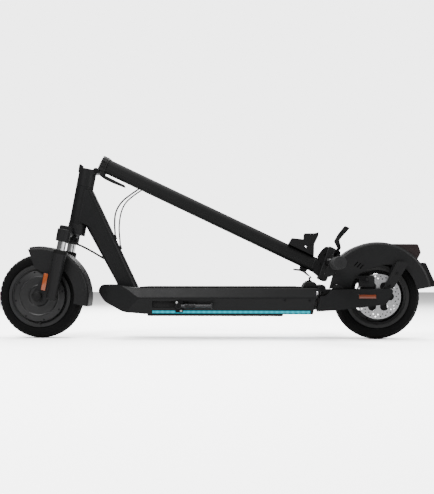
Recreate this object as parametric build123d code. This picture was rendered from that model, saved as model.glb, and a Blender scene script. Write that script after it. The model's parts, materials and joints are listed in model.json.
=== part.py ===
from build123d import *
import os
from math import asin, atan2, cos, degrees, hypot, pi, radians, sin, tan

# Electric kick scooter, folded, in millimetres. +X is the rear, -Y the rider's left, +Z up.
# The origin is on the floor under the middle of the folded scooter.

# overall
overall_length = 1283.0
wheel_radius = 125.0
tyre_width = 62.0
deck_width = 176.0
bar_width = 550.0
running_fit = 0.05
body_gap = 0.5

# steering and fork
rake = 11.0
fork_offset = 65.0
crown_clearance = 107.5
head_length = 112.0
head_radius = 26.0
head_bore = 20.0
steerer_radius = 14.0
leg_spacing = 128.0
leg_lead = 21.0
stanchion_radius = 13.0
fork_travel = 20.0
collar_height = 53.0
hinge_lead = 27.0
hinge_lift = 2.0
hinge_pin_radius = 4.0
knuckle_radius = 9.0
knuckle_half = 11.7
axle_radius = 6.0
dropout_inner = 50.0
dropout_thickness = 8.0
fender_gap = 19.0
fender_wall = 3.5
fender_half = 43.5

# stem and cockpit, measured along the stem from the fold hinge
stem_depth = 43.0
stem_breadth = 42.0
stem_wall = 3.0
bar_radius = 11.1
bar_rise = 13.0
bar_lead = 22.7
grip_radius = 17.0
grip_length = 120.0
hook_pivot_back = 28.0
flange_top = 24.0
latch_x = 31.0
latch_z = 21.0
cockpit_tilt = 6.8
cockpit_rise = 26.0
button_x = 22.0
cockpit_half = 36.0
lamp_half = 27.0
lock_eye_radius = 3.5

# frame and deck, heights measured up from the axles
deck_top = 25.0
hull_bottom = -51.0
cover_drop = 6.0
mat_thickness = 3.5
crease_height = -5.0
nose_gap = 48.0
rear_gap = 36.5
down_tube_half = 25.0
tube_wall = 3.0
catch_radius = 2.5
catch_height = 53.5
catch_setback = 32.0

# rear end
arm_outer = 85.0
arm_thickness = 26.0
rear_overhang = 168.0
disc_radius = 65.0
disc_offset = 48.0
disc_thickness = 2.2
pivot_pin_radius = 6.0
rear_fender_half = 45.0
rear_fender_gap = 29.0

# places that follow from the sizes above
axle_z = wheel_radius
front_axle_x = wheel_radius - overall_length / 2
rear_axle_x = overall_length / 2 - rear_overhang
fork_length = wheel_radius + crown_clearance
lean = radians(rake)
seat_x = front_axle_x + fork_offset * cos(lean) + fork_length * sin(lean)
seat_z = axle_z - fork_offset * sin(lean) + fork_length * cos(lean)
collar_top = head_length + collar_height
hinge_height = collar_top - hinge_lift
hinge_x = seat_x + hinge_lead * cos(lean) + hinge_height * sin(lean)
hinge_z = seat_z - hinge_lead * sin(lean) + hinge_height * cos(lean)
pivot_x = rear_axle_x - wheel_radius - rear_gap
pivot_z = axle_z + 23.5
nose_x = front_axle_x + wheel_radius + nose_gap
deck_end_x = pivot_x - 14.0
catch_x = pivot_x - catch_setback
catch_z = axle_z + catch_height
rim_radius = wheel_radius - 37.0

# the folded stem lies where its hook meets the catch
hook_depth = 14.0
catch_reach = hypot(catch_x - hinge_x, catch_z - hinge_z)
catch_dip = atan2(hinge_z - catch_z, catch_x - hinge_x)
fold_drop = catch_dip - asin(hook_depth / catch_reach)
hook_reach = catch_reach * cos(asin(hook_depth / catch_reach))
stem_top = hook_reach
bar_height = hook_reach + 28.0
fold_travel = degrees(fold_drop) + 90.0 - rake

# places on the cockpit, in the stem's frame
bar_x = -bar_lead
bar_z = bar_height + bar_rise
perch_out = grip_length + 2.0 - bar_width / 2
lever_x = bar_x - 27.0
lever_y = perch_out + 12.0
lever_z = bar_z - 12.0
lever_pin_radius = 3.0
pod_low = -perch_out - 18.0
paddle_low = -perch_out - 12.0
lamp_z = stem_top - 50.0
hook_x = hinge_lead + 2.0
hook_z = hook_reach - hook_pivot_back
catch_local_x = hinge_lead + hook_depth

# steering frame: x rearwards, y to the right, z up the steering axis, from the head tube's foot
steer = Plane(origin=(seat_x, 0, seat_z), x_dir=(cos(lean), 0, -sin(lean)), z_dir=(sin(lean), 0, cos(lean)))
# stem frame: z up the stem from the hinge's height, x towards the rider, on the stem's axis
stem_x = hinge_x + hinge_lead * sin(fold_drop)
stem_z = hinge_z + hinge_lead * cos(fold_drop)
stem = Plane(
    origin=(stem_x, 0, stem_z),
    x_dir=(-sin(fold_drop), 0, -cos(fold_drop)),
    z_dir=(cos(fold_drop), 0, -sin(fold_drop)),
)


def placed(frame, shape):
    return shape.moved(frame.location)


def slab(corners, y_low, y_high):
    # a side outline of (x, z) or (x, z, radius) corners, extruded from y_low to y_high
    points = [(corner[0], y_low, corner[1]) for corner in corners]
    radii = [corner[2] if len(corner) > 2 else 0 for corner in corners]
    outline = FilletPolyline(*points, radius=radii, close=True)
    return extrude(Face(Wire(outline.edges())), amount=y_high - y_low, dir=(0, 1, 0))


def rod(x, z, radius, y_low, y_high):
    # a cylinder along Y
    return Pos(x, (y_low + y_high) / 2, z) * Cylinder(radius, y_high - y_low, rotation=(90, 0, 0))


def post(x, y, radius, z_low, z_high, top_radius=None):
    # a cylinder, or a cone, along Z
    height = z_high - z_low
    if top_radius is None:
        return Pos(x, y, z_low + height / 2) * Cylinder(radius, height)
    return Pos(x, y, z_low + height / 2) * Cone(radius, top_radius, height)


def block(x_low, x_high, y_low, y_high, z_low, z_high):
    centre = ((x_low + x_high) / 2, (y_low + y_high) / 2, (z_low + z_high) / 2)
    return Pos(*centre) * Box(x_high - x_low, y_high - y_low, z_high - z_low)


def other_half(profile):
    # the same wheel profile points on the other side of y = 0, in the order that closes the outline
    return [(point[0], -point[1], *point[2:]) for point in reversed(profile)]


def turned(profile, x, z):
    # a wheel part from (radius, y) or (radius, y, corner radius) points, turned about the axle at x, z
    radii = [point[2] if len(point) > 2 else 0 for point in profile]
    outline = FilletPolyline(*[(point[0], point[1], 0) for point in profile], radius=radii, close=True)
    return Pos(x, 0, z) * revolve(Face(Wire(outline.edges())), Axis.Y, 360)


def fan(x, z, start, stop, reach, y_low, y_high):
    # a wedge of a disc between two angles, up from +X, for cutting arcs of a ring
    steps = max(2, round((stop - start) / 40))
    turns = [radians(start + (stop - start) * i / steps) for i in range(steps + 1)]
    rim = [(x + reach * cos(turn), z + reach * sin(turn)) for turn in turns]
    return slab([(x, z)] + rim, y_low, y_high)


def arc_band(x, z, inner, outer, start, stop, half):
    # part of a ring, centred on y = 0
    ring = rod(x, z, outer, -half, half) - rod(x, z, inner, -half - 1, half + 1)
    return ring & fan(x, z, start, stop, 2 * outer, -half - 1, half + 1)


def mirrored(shape):
    return shape.mirror(Plane.XZ)


def both_sides(shape):
    return Compound(children=[*shape.solids(), *mirrored(shape).solids()])


def round_arcs(shape, radius, fillet_radius):
    # rounds the two long edges of an arc band at the given radius
    arcs = shape.edges().filter_by(GeomType.CIRCLE)
    return fillet([edge for edge in arcs if abs(edge.radius - radius) < 0.01], fillet_radius)


def cable(points, radius):
    # straight runs joined by the largest tangent arcs that the runs allow
    corners = []
    for i in range(1, len(points) - 1):
        before = Vector(*points[i]) - Vector(*points[i - 1])
        after = Vector(*points[i + 1]) - Vector(*points[i])
        turn = radians(before.get_angle(after))
        corners.append(0.45 * min(before.length, after.length) / tan(turn / 2))
    path = FilletPolyline(*points, radius=corners)
    start = Plane(origin=path @ 0, z_dir=path % 0)
    run = sweep(start * Circle(radius), path=path)
    expected = pi * radius ** 2 * path.length
    print("cable corner radii", [round(corner) for corner in corners], "length", round(path.length),
          "volume over section times length", round(run.volume / expected, 4))
    return run


# ---- main frame ----

def head_shell():
    tube = post(0, 0, head_radius, 0, head_length) - post(0, 0, head_bore, -1, head_length + 1)
    return placed(steer, tube)


def headset():
    height = 12.0
    race = post(0, 0, head_bore, 0, height) - post(0, 0, steerer_radius + running_fit, -1, height + 1)
    upper = Pos(0, 0, head_length - height) * race
    return Compound(children=[placed(steer, race), placed(steer, upper)])


def hull_outline():
    top = axle_z + deck_top
    low = axle_z + hull_bottom
    return [
        (nose_x, axle_z + 17, 14),
        (nose_x + 15, top + 10, 18),
        (nose_x + 52, top + 9, 40),
        (nose_x + 118, top, 90),
        (deck_end_x, top, 3),
        (deck_end_x - 12, low, 3),
        (nose_x + 150, low, 70),
        (nose_x + 84, low + 5, 70),
        (nose_x + 22, axle_z - 14, 40),
    ]


def hull_solid():
    half = deck_width / 2
    body = slab(hull_outline(), -half - 2, half + 2)
    plan_points = [
        (nose_x - 4, -26),
        (nose_x + 40, -62),
        (nose_x + 130, -half),
        (deck_end_x + 4, -half),
        (deck_end_x + 4, half),
        (nose_x + 130, half),
        (nose_x + 40, 62),
        (nose_x - 4, 26),
    ]
    plan_radii = [22, 60, 120, 0, 0, 120, 60, 22]
    flat = [(x, y, 0) for x, y in plan_points]
    plan = FilletPolyline(*flat, radius=plan_radii, close=True)
    body &= extrude(Face(Wire(plan.edges())), amount=2 * axle_z, dir=(0, 0, 1))
    # the cross-section is widest at the crease, halfway up the side
    top = axle_z + deck_top
    low = axle_z + hull_bottom
    crease = axle_z + crease_height
    section = [
        (-half + 13, low - 1), (-half, crease), (-half + 10, top - 4), (-half + 20, top + 14),
        (half - 20, top + 14), (half - 10, top - 4), (half, crease), (half - 13, low - 1),
    ]
    ring = [(nose_x - 10, y, z) for y, z in section]
    outline = FilletPolyline(*ring, radius=[3, 14, 7, 4, 4, 7, 14, 3], close=True)
    body &= extrude(Face(Wire(outline.edges())), amount=deck_end_x - nose_x + 20, dir=(1, 0, 0))
    return body


bay_start = nose_x + 170
bay_stop = deck_end_x - 50
bay_wide = deck_width / 2 - 16
bay_half = deck_width / 2 - 26
cover_start = nose_x + 150
cover_stop = deck_end_x - 96
led_start = nose_x + 168
led_stop = deck_end_x - 20
led_low = axle_z + hull_bottom + 2.5
led_high = led_low + 8.0
led_face = deck_width / 2 - 9.5
recess_start = nose_x + 169
recess_stop = recess_start + 105
recess_low = axle_z - 32
recess_high = axle_z - 13
panel_back = deck_width / 2 - 12
panel_face = panel_back + 2.0
port_x = recess_start + 56
port_z = axle_z - 23.5
port_radius = 9.0
stand_x = recess_start + 77
stand_z = axle_z - 27
stand_pin_radius = 4.0
stand_length = stand_z - 1.0


def deck_shell():
    body = hull_solid()
    low = axle_z + hull_bottom
    bay = block(bay_start, bay_stop, -bay_half, bay_half, low - 5, axle_z + deck_top - 6)
    body -= fillet(bay.edges().filter_by(Axis.Z), 8)
    body -= block(bay_start + 6, deck_end_x - 18, -bay_wide, bay_wide, axle_z - 38, axle_z + deck_top - 6)
    body -= block(nose_x + 70, bay_start + 8, -56, 56, axle_z - 26, axle_z + 16)
    body -= block(cover_start, cover_stop, -bay_half - 6, bay_half + 6, low - 5, low + 2)
    for y_low, y_high in ((-deck_width, -led_face + 3), (led_face - 3, deck_width)):
        body -= block(led_start, led_stop, y_low, y_high, led_low, led_high)
    body -= block(recess_start, recess_stop, -deck_width, -panel_back, recess_low, recess_high)
    body -= rod(port_x, port_z, port_radius, -panel_back - 1, -panel_back + 16)
    # a shallow groove with the rear block's side screws
    for y_low, y_high in ((-deck_width, -deck_width / 2 + 2), (deck_width / 2 - 2, deck_width)):
        body -= block(catch_x - 2, catch_x + 18, y_low, y_high, axle_z + 3, axle_z + 5)
    return body


def down_tube():
    # edges of the tube in the steering frame's x, z plane of symmetry
    root_z = axle_z + deck_top
    rear_foot = nose_x + 117
    front_foot = nose_x + 58
    head_rear_x = seat_x + head_radius * cos(lean) + (head_length - 8) * sin(lean)
    head_rear_z = seat_z - head_radius * sin(lean) + (head_length - 8) * cos(lean)
    head_front_x = seat_x + head_radius * cos(lean) * 0.9
    head_front_z = seat_z - 2
    outer = [
        (head_rear_x - 20, head_rear_z + 2),
        (head_rear_x, head_rear_z),
        (rear_foot, root_z, 0),
        (rear_foot + 4, root_z - 12),
        (front_foot + 4, root_z - 12),
        (front_foot, root_z + 6, 0),
        (head_front_x, head_front_z),
        (head_front_x - 20, head_front_z + 10),
    ]
    tube = slab(outer, -down_tube_half, down_tube_half)
    long_edges = [edge for edge in tube.edges() if edge.length > 100]
    tube = fillet([edge for edge in long_edges if abs(edge.center().Y) > down_tube_half - 0.1], 14)
    wall = 5.0
    inner = [
        (head_rear_x - 12, head_rear_z - 40),
        (head_rear_x + 6, head_rear_z - 30),
        (rear_foot - wall - 2, root_z),
        (rear_foot - wall, root_z - 14),
        (front_foot + wall + 4, root_z - 14),
        (front_foot + wall + 2, root_z + 4),
        (head_front_x + 10, head_front_z + 4),
    ]
    tube -= slab(inner, -down_tube_half + tube_wall, down_tube_half - tube_wall)
    tube -= placed(steer, post(0, 0, head_radius, -40, head_length + 40))
    tube -= placed(steer, post(0, 0, head_radius + 3, -60, 0))
    tube -= hull_solid()
    return tube.solids().sort_by(SortBy.VOLUME)[-1]


def deck_mat():
    top = axle_z + deck_top
    half = deck_width / 2 - 21
    mat = block(nose_x + 128, deck_end_x - 44, -half, half, top, top + mat_thickness)
    mat = fillet(mat.edges().filter_by(Axis.Z), 16)
    return chamfer(mat.faces().sort_by(Axis.Z)[-1].edges(), 1)


def battery_cover():
    low = axle_z + hull_bottom
    plate = block(cover_start + 1, cover_stop - 1, -bay_half - 5, bay_half + 5, low - cover_drop, low + 2)
    plate = fillet(plate.edges().filter_by(Axis.Z), 10)
    return chamfer(plate.faces().sort_by(Axis.Z)[0].edges(), 2)


def battery_pack():
    low = axle_z + hull_bottom + 4
    high = axle_z + deck_top - 8
    pack = block(bay_start + 110, bay_stop - 3, -bay_half + 3, bay_half - 3, low, high)
    return fillet(pack.edges().filter_by(Axis.X), 8)


def controller_box():
    low = axle_z + hull_bottom + 6
    case = block(bay_start + 6, bay_start + 100, -bay_half + 8, bay_half - 8, low, low + 34)
    for i in range(5):
        y = -30 + 15 * i
        case += block(bay_start + 10, bay_start + 96, y - 1.5, y + 1.5, low + 34, low + 40)
    return case


def led_strips():
    low, high = led_low + 0.3, led_high - 0.3
    strip = block(led_start + 0.3, led_stop - 0.3, -led_face, -led_face + 2.8, low, high)
    return both_sides(fillet(strip.faces().sort_by(Axis.Y)[0].edges(), 1.2))


def port_panel():
    # a thin panel in the recess, with the socket's tube behind it
    low, high = recess_low + 0.5, recess_high - 0.5
    plate = block(recess_start + 0.5, recess_stop - 0.5, -panel_face, -panel_back, low, high)
    plate += rod(port_x, port_z, port_radius - 0.3, -panel_back, -panel_back + 14)
    return plate - rod(port_x, port_z, port_radius - 3.5, -panel_face - 1, -panel_back + 11)


def port_cap():
    # a round rubber flap, hinged along its top
    inside = panel_face + 0.4
    cap = rod(port_x, port_z, port_radius - 1, -inside - 2, -inside)
    cap += block(port_x - 4, port_x + 4, -inside - 2, -inside, port_z + 4, recess_high - 1.7)
    return cap + Pos(port_x, -inside - 1, recess_high - 1.7) * Cylinder(1, 8, rotation=(0, 90, 0))


def kickstand_bracket():
    inner = deck_width / 2 - 2.0
    plate = slab([(stand_x - 10, axle_z - 46, 2), (stand_x - 10, axle_z - 13, 3),
                  (stand_x + 12, axle_z - 13, 3),
                  (stand_x + 12, axle_z - 46, 2)], -inner - 4, -inner + 1)
    foot = block(stand_x - 10, stand_x + 12, -inner - 1, -inner + 6, axle_z - 46, axle_z - 40)
    pin = rod(stand_x, stand_z, stand_pin_radius, -inner - 17, -inner - 3)
    head = rod(stand_x, stand_z, stand_pin_radius + 3, -inner - 19, -inner - 16.8)
    return plate + foot + pin + head - hull_solid()


def kickstand_leg():
    # folded back along the deck's left side
    inner = deck_width / 2 - 2.0
    y = -inner - 11
    bore = rod(stand_x, stand_z, stand_pin_radius + running_fit, y - 6, y + 6)
    boss = rod(stand_x, stand_z, 8, y - 5, y + 5)
    shank_x = stand_x + stand_length / 2 + 1
    shank = Pos(shank_x, y, stand_z) * Cylinder(4.5, stand_length - 6, rotation=(0, 90, 0))
    sleeve = Pos(stand_x + 32, y, stand_z) * Cylinder(6.5, 30, rotation=(0, 90, 0))
    tip = stand_x + stand_length
    foot = slab([(tip - 4, stand_z - 9, 1), (tip - 4, stand_z + 9, 1), (tip, stand_z + 9, 1),
                 (tip, stand_z - 9, 1)], y - 7, y + 5)
    return boss + shank + sleeve + foot - bore


def rear_deck_cap():
    top = axle_z + deck_top
    half = deck_width / 2 - 30
    cap = slab([(deck_end_x - 42, top), (deck_end_x - 33, top + 17, 12), (deck_end_x - 6, top + 18, 14),
                (deck_end_x + 2, top + 6, 6), (deck_end_x + 2, top)], -half, half)
    return fillet(cap.faces().filter_by(GeomType.PLANE).sort_by(Axis.Y)[0].edges()
                  + cap.faces().filter_by(GeomType.PLANE).sort_by(Axis.Y)[-1].edges(), 4)


def catch_loop():
    # a cross rod on two short legs, with a low peaked fairing round its foot
    base = axle_z + deck_top + 17.5
    reach = 11.0
    bar = rod(catch_x, catch_z, catch_radius, -reach, reach)
    for side in (-1, 1):
        bar += post(catch_x, side * (reach - catch_radius - 0.2), catch_radius - 0.2, base + 1, catch_z)
    fairing = slab([(catch_x - 15, base - 3), (catch_x - 5, catch_z - 6.5, 2),
                    (catch_x + 4, catch_z - 6.5, 2),
                    (catch_x + 11, base - 3)], -reach - 3, reach + 3)
    return bar + (fairing - rear_deck_cap())


def pivot_bracket():
    # two black ears behind the deck that carry the swing arm's pin
    seat = axle_z + deck_top
    profile = [(deck_end_x - 3, pivot_z - 8), (deck_end_x - 1, seat), (deck_end_x + 2.5, seat),
               (deck_end_x + 4, pivot_z + 8), (pivot_x + 8, pivot_z + 9, 6), (pivot_x + 12, pivot_z - 7, 6),
               (pivot_x - 4, pivot_z - 10)]
    outer_ear = slab(profile, -arm_outer + 2, -arm_outer + 12)
    inner_ear = slab(profile, -34, 0)
    ears = outer_ear + inner_ear
    ears += mirrored(ears)
    web = slab([(deck_end_x - 3, pivot_z - 8), (deck_end_x - 1, seat), (pivot_x - 12.5, seat),
                (pivot_x - 12.5, pivot_z - 8)], -arm_outer + 2, arm_outer - 2)
    ears += web
    ears -= rod(pivot_x, pivot_z, pivot_pin_radius, -arm_outer, arm_outer)
    return ears - hull_solid()


def pivot_bolt():
    pin = rod(pivot_x, pivot_z, pivot_pin_radius, -arm_outer + 2, arm_outer - 2)
    head = rod(pivot_x, pivot_z, pivot_pin_radius + 3, -arm_outer - 2, -arm_outer + 2)
    socket = extrude(Plane.XZ * RegularPolygon(3.5, 6), amount=1.5, both=True)
    head -= Pos(pivot_x, -arm_outer - 1, pivot_z) * socket
    return pin + head + mirrored(head)


# ---- steering body ----

def fork_crown():
    crown = post(0, 0, head_radius + 1, -34, -body_gap)
    crown += post(0, 0, steerer_radius, -10, collar_top - 10)
    arch = block(-leg_lead - 16, -leg_lead + 18, -leg_spacing / 2, leg_spacing / 2, -44, -14)
    arch -= Pos(-leg_lead, 0, -58) * Cylinder(34, 60, rotation=(0, 90, 0))
    crown += fillet(arch.edges().filter_by(Axis.Y), 5)
    for side in (-1, 1):
        cap = post(-leg_lead, side * leg_spacing / 2, 20, -62, -25)
        crown += chamfer(cap.edges().filter_by(GeomType.CIRCLE), 2)
    for side in (-1, 1):
        crown -= post(-leg_lead, side * leg_spacing / 2, stanchion_radius, -63, -32)
    return placed(steer, crown)


def stanchion_tubes():
    tube = post(-leg_lead, -leg_spacing / 2, stanchion_radius, -(fork_length - 34), -32)
    tube -= post(-leg_lead, -leg_spacing / 2, stanchion_radius - 3, -(fork_length - 33), -38)
    return placed(steer, both_sides(tube))


def fold_collar():
    collar = post(0, 0, head_radius, head_length + body_gap, collar_top)
    collar = fillet(collar.edges().filter_by(GeomType.CIRCLE).sort_by(Axis.Z)[-1], 2)
    for side in (-1, 1):
        y_range = sorted((side * (knuckle_half + 0.3), side * (knuckle_half + 9)))
        ear = rod(hinge_lead, hinge_height, knuckle_radius, *y_range)
        ear += slab([(0, hinge_height - 22), (0, collar_top - 3), (hinge_lead, hinge_height + 1),
                     (hinge_lead + knuckle_radius * 0.94, hinge_height - 3)], *y_range)
        collar += ear
    collar -= rod(hinge_lead, hinge_height, knuckle_radius + body_gap, -knuckle_half - 0.3,
                  knuckle_half + 0.3)
    collar -= post(0, 0, steerer_radius, 0, collar_top - 10)
    collar -= rod(hinge_lead, hinge_height, hinge_pin_radius, -30, 30)
    collar -= block(-head_radius - 1, -head_radius + 8, -7, 7, collar_top - 14, collar_top + 1)
    return placed(steer, collar)


def fold_pin():
    reach = knuckle_half + 9
    pin = rod(hinge_lead, hinge_height, hinge_pin_radius, -reach, reach)
    for side in (-1, 1):
        pin += rod(hinge_lead, hinge_height, 6.5, *sorted((side * reach, side * (reach + 2))))
    return placed(steer, pin)


def latch_striker():
    hook = slab([(-head_radius + 8, collar_top - 14), (-head_radius - 1.5, collar_top - 14, 1),
                 (-head_radius - 2, collar_top + 8, 2), (-head_radius + 1, collar_top + 11, 2),
                 (-head_radius + 9.5, collar_top + 6, 1), (-head_radius + 9.5, collar_top + 1),
                 (-head_radius + 8, collar_top)], -7, 7)
    return placed(steer, hook)


# ---- fork lowers, which slide ----

def fork_lowers():
    foot = -(fork_length + 2)
    leg = post(-leg_lead, -leg_spacing / 2, 15, foot, -99, 20)
    leg = fillet(leg.edges().filter_by(GeomType.CIRCLE).sort_by(Axis.Z)[0], 5)
    axle_t = -fork_offset
    axle_s = -fork_length
    plate = slab([(-leg_lead, -148), (-leg_lead - 20, -156, 8), (-leg_lead - 35, -166, 12),
                  (axle_t - 15, axle_s + 6, 12), (axle_t - 12, axle_s - 15, 12),
                  (axle_t + 14, axle_s - 15, 10),
                  (-leg_lead, foot + 2)], -dropout_inner - dropout_thickness, -dropout_inner)
    leg += plate
    leg -= post(-leg_lead, -leg_spacing / 2, stanchion_radius + 0.3, -(fork_length - 9), -90)
    leg -= rod(axle_t, axle_s, axle_radius, -90, -40)
    return placed(steer, both_sides(leg))


def dust_seals():
    seal = post(-leg_lead, -leg_spacing / 2, 20, -99, -87)
    seal = chamfer(seal.edges().filter_by(GeomType.CIRCLE).sort_by(Axis.Z)[-1], 3)
    seal -= post(-leg_lead, -leg_spacing / 2, stanchion_radius + 0.3, -100, -86)
    return placed(steer, both_sides(seal))


def front_axle():
    outer = dropout_inner + dropout_thickness
    shaft = rod(front_axle_x, axle_z, axle_radius, -outer - 12, outer + 12)
    washer = rod(front_axle_x, axle_z, 12, -outer - 2, -outer)
    washer -= rod(front_axle_x, axle_z, axle_radius, -outer - 3, -outer + 1)
    hexagon = extrude(Plane.XZ * RegularPolygon(10, 6), amount=4, both=True)
    nut = Pos(front_axle_x, -outer - 6, axle_z) * hexagon
    nut -= rod(front_axle_x, axle_z, axle_radius, -outer - 12, -outer)
    hardware = Compound(children=[washer.solid(), nut.solid()])
    return Compound(children=[shaft.solid(), *both_sides(hardware).solids()])


def motor_stator():
    half = 17.0
    core = rod(front_axle_x, axle_z, rim_radius - 24, -half, half)
    core -= rod(front_axle_x, axle_z, axle_radius, -half - 1, half + 1)
    teeth = 18
    for i in range(teeth):
        turn = radians(360 * i / teeth)
        reach = rim_radius - 24
        x = front_axle_x + reach * cos(turn)
        z = axle_z + reach * sin(turn)
        core -= Pos(x, 0, z) * Box(16, 2 * half + 2, 3, rotation=(0, -degrees(turn), 0))
    return core


def front_fender():
    x, z = front_axle_x, axle_z
    outer = wheel_radius + fender_gap + fender_wall
    shell = arc_band(x, z, wheel_radius - 19, outer, -12, 101, fender_half)
    shell = round_arcs(shell, outer, 12)
    tab = slab([(x - 32, z + wheel_radius + 14), (x - 12, z + 84, 20), (x + 6, z + 72, 8),
                (x + 36, z + 66, 8),
                (x + 60, z + 100), (x + 20, z + wheel_radius)], -fender_half, fender_half)
    shell += tab
    inner = rod(x, z, outer - fender_wall, -fender_half + 3, fender_half - 3)
    inner = round_arcs(inner, outer - fender_wall, 10)
    shell -= inner
    return shell


# ---- front wheel ----

def hub_shell():
    r = rim_radius
    half_profile = [
        (r - 12, 0), (r - 12, 23), (r - 5, 25), (r - 5, 29), (r + 4.5, 29, 1), (r + 4.5, 25.5, 1), (r, 24.5),
        (r, 14), (r - 4, 10), (r - 4, 0),
    ]
    return turned(half_profile + other_half(half_profile[1:-1]), front_axle_x, axle_z)


def hub_covers():
    r = rim_radius
    bore = axle_radius + running_fit
    outside = [
        (bore, -40), (15, -40, 1), (17, -37.5), (r - 60, -37.5), (r - 57, -39, 1), (r - 54, -37.5),
        (r - 34, -36.5),
        (r - 31, -38, 1), (r - 28, -36), (r - 13, -33, 2), (r - 10.5, -28, 1), (r - 10.5, -23.6),
    ]
    inside = [(r - 12.3, -23.1), (r - 15, -23.1), (r - 17, -30, 2), (24, -33, 4), (20, -20), (bore, -20)]
    return both_sides(turned(outside + inside, front_axle_x, axle_z))


def tyre(x):
    # two beads on the rim, a thin wall round the air space
    r = rim_radius
    half = tyre_width / 2
    outside = [
        (r, 16), (r, 24), (r + 5.5, 24.8), (r + 6.5, 29, 1), (r + 14, half, 8), (r + 24, half - 1, 8),
        (r + 33, half - 9, 8), (wheel_radius, 8, 14),
    ]
    air = [(r - 1, 15), (r + 8, 16, 2), (r + 12, half - 6, 4), (r + 22, half - 7, 6),
           (wheel_radius - 7, 9, 8)]
    return turned(outside + other_half(outside), x, axle_z) - turned(air + other_half(air), x, axle_z)


# ---- stem and cockpit, which fold ----

def rounded_bar(half_x, half_y, radius, z_low, z_high):
    section = Pos(0, 0, z_low) * RectangleRounded(2 * half_x, 2 * half_y, radius)
    return extrude(section, amount=z_high - z_low)


def stem_tube():
    tube = rounded_bar(stem_depth / 2, stem_breadth / 2, 15, flange_top, stem_top)
    tube -= rounded_bar(stem_depth / 2 - stem_wall, stem_breadth / 2 - stem_wall, 12, flange_top - 1,
                        stem_top + 1)
    tube -= Pos(20, 0, 142) * Box(16, 20, 26)
    return placed(stem, tube)


def stem_flange():
    face = hinge_lift + 0.4
    plate = rounded_bar(25, 25, 17, face, flange_top - 6)
    plate += rounded_bar(23.5, 23.5, 16, flange_top - 6, flange_top)
    notch = rod(hinge_lead, 0, knuckle_radius + body_gap, -30, 30)
    plate -= notch
    knuckle = rod(hinge_lead, 0, knuckle_radius, -knuckle_half, knuckle_half)
    knuckle += block(8, hinge_lead - 2, -knuckle_half, knuckle_half, face, flange_top - 6)
    plate += knuckle
    for i in range(6):
        x = -18 + 5.5 * i
        plate -= Pos(x, 0, face) * Box(2, 60, 3)
    plate -= block(-27, -15.5, -8, 8, face - 1, 14)
    plate -= rod(hinge_lead, 0, hinge_pin_radius + running_fit, -30, 30)
    for side in (-1, 1):
        y_range = sorted((side * 12, side * 17))
        lug = slab([(14, 13), (14, flange_top), (23, flange_top), (latch_x + 5, latch_z + 6, 4),
                    (latch_x + 5, latch_z - 5, 4), (22, 13)], *y_range)
        plate += lug - notch
    plate += rod(latch_x, latch_z, 2.5, -17, 17)
    return placed(stem, plate)


def latch_lever():
    # a flat lever on the rider's side of the stem, pointed at its free end
    arm = rod(latch_x, latch_z, 5, -11.5, 11.5)
    arm += slab([(latch_x - 4, latch_z + 1), (latch_x + 5, latch_z + 1), (latch_x + 7, latch_z + 10, 3),
                 (latch_x + 7, latch_z + 38, 40), (latch_x + 4, latch_z + 76, 1.5),
                 (latch_x - 2.5, latch_z + 71, 1.5), (latch_x - 3, latch_z + 30, 40)], -11.5, 11.5)
    arm -= rod(latch_x, latch_z, 2.5 + running_fit, -13, 13)
    return placed(stem, arm)


def under_cockpit(x):
    # height of the display housing's lower face at x
    return bar_height - 13.0 + (x - bar_x) * tan(radians(cockpit_tilt))


def stem_head():
    front = -stem_depth / 2
    neck = slab([(21, stem_top), (26, under_cockpit(26), 0), (-65, under_cockpit(-65), 0),
                 (-61, stem_top + 2, 4), (-45, stem_top - 4, 14), (front - 4, stem_top - 6, 4),
                 (front, stem_top)], -20, 20)
    half_x, half_y = stem_depth / 2 - stem_wall, stem_breadth / 2 - stem_wall
    plug = rounded_bar(half_x, half_y, 12, stem_top - 25, stem_top)
    return placed(stem, neck + plug)


def cockpit_housing():
    rise = cockpit_rise
    shell = slab([(33, under_cockpit(33), 4), (33, under_cockpit(33) + rise, 8),
                  (-67, under_cockpit(-67) + rise, 9), (-67, under_cockpit(-67), 5)],
                 -cockpit_half, cockpit_half)
    left, right = shell.faces().filter_by(Axis.Y)
    shell = fillet(left.edges() + right.edges(), 3)
    shell -= rod(bar_x, bar_height, bar_radius, -60, 60)
    well = Pos(button_x, 0, under_cockpit(button_x) + rise)
    shell -= well * Cylinder(7.4, 9)
    return placed(stem, shell)


def power_button():
    z = under_cockpit(button_x) + cockpit_rise
    cap = post(button_x, 0, 7, z - 2.2, z + 1.6)
    cap = fillet(cap.edges().filter_by(GeomType.CIRCLE).sort_by(Axis.Z)[-1], 0.8)
    return placed(stem, cap)


def bar_path():
    reach = bar_width / 2 - 3
    points = [(bar_x, -reach, bar_z), (bar_x, -115, bar_z), (bar_x, -55, bar_height),
              (bar_x, 55, bar_height), (bar_x, 115, bar_z), (bar_x, reach, bar_z)]
    return FilletPolyline(*points, radius=90)


def handlebar():
    path = bar_path()
    start = Plane(origin=path @ 0, z_dir=path % 0)
    tube = sweep(start * Circle(bar_radius), path=path) - sweep(start * Circle(bar_radius - 2), path=path)
    return placed(stem, tube)


def grips():
    outer = bar_width / 2
    grip = rod(bar_x, bar_z, grip_radius, -outer, -outer + grip_length)
    grip = fillet(grip.edges().filter_by(GeomType.CIRCLE), 3)
    grip += rod(bar_x, bar_z, grip_radius + 1.5, -outer + grip_length - 5, -outer + grip_length)
    grip -= rod(bar_x, bar_z, bar_radius, -outer + 3, -outer + grip_length + 1)
    return placed(stem, both_sides(grip))


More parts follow.
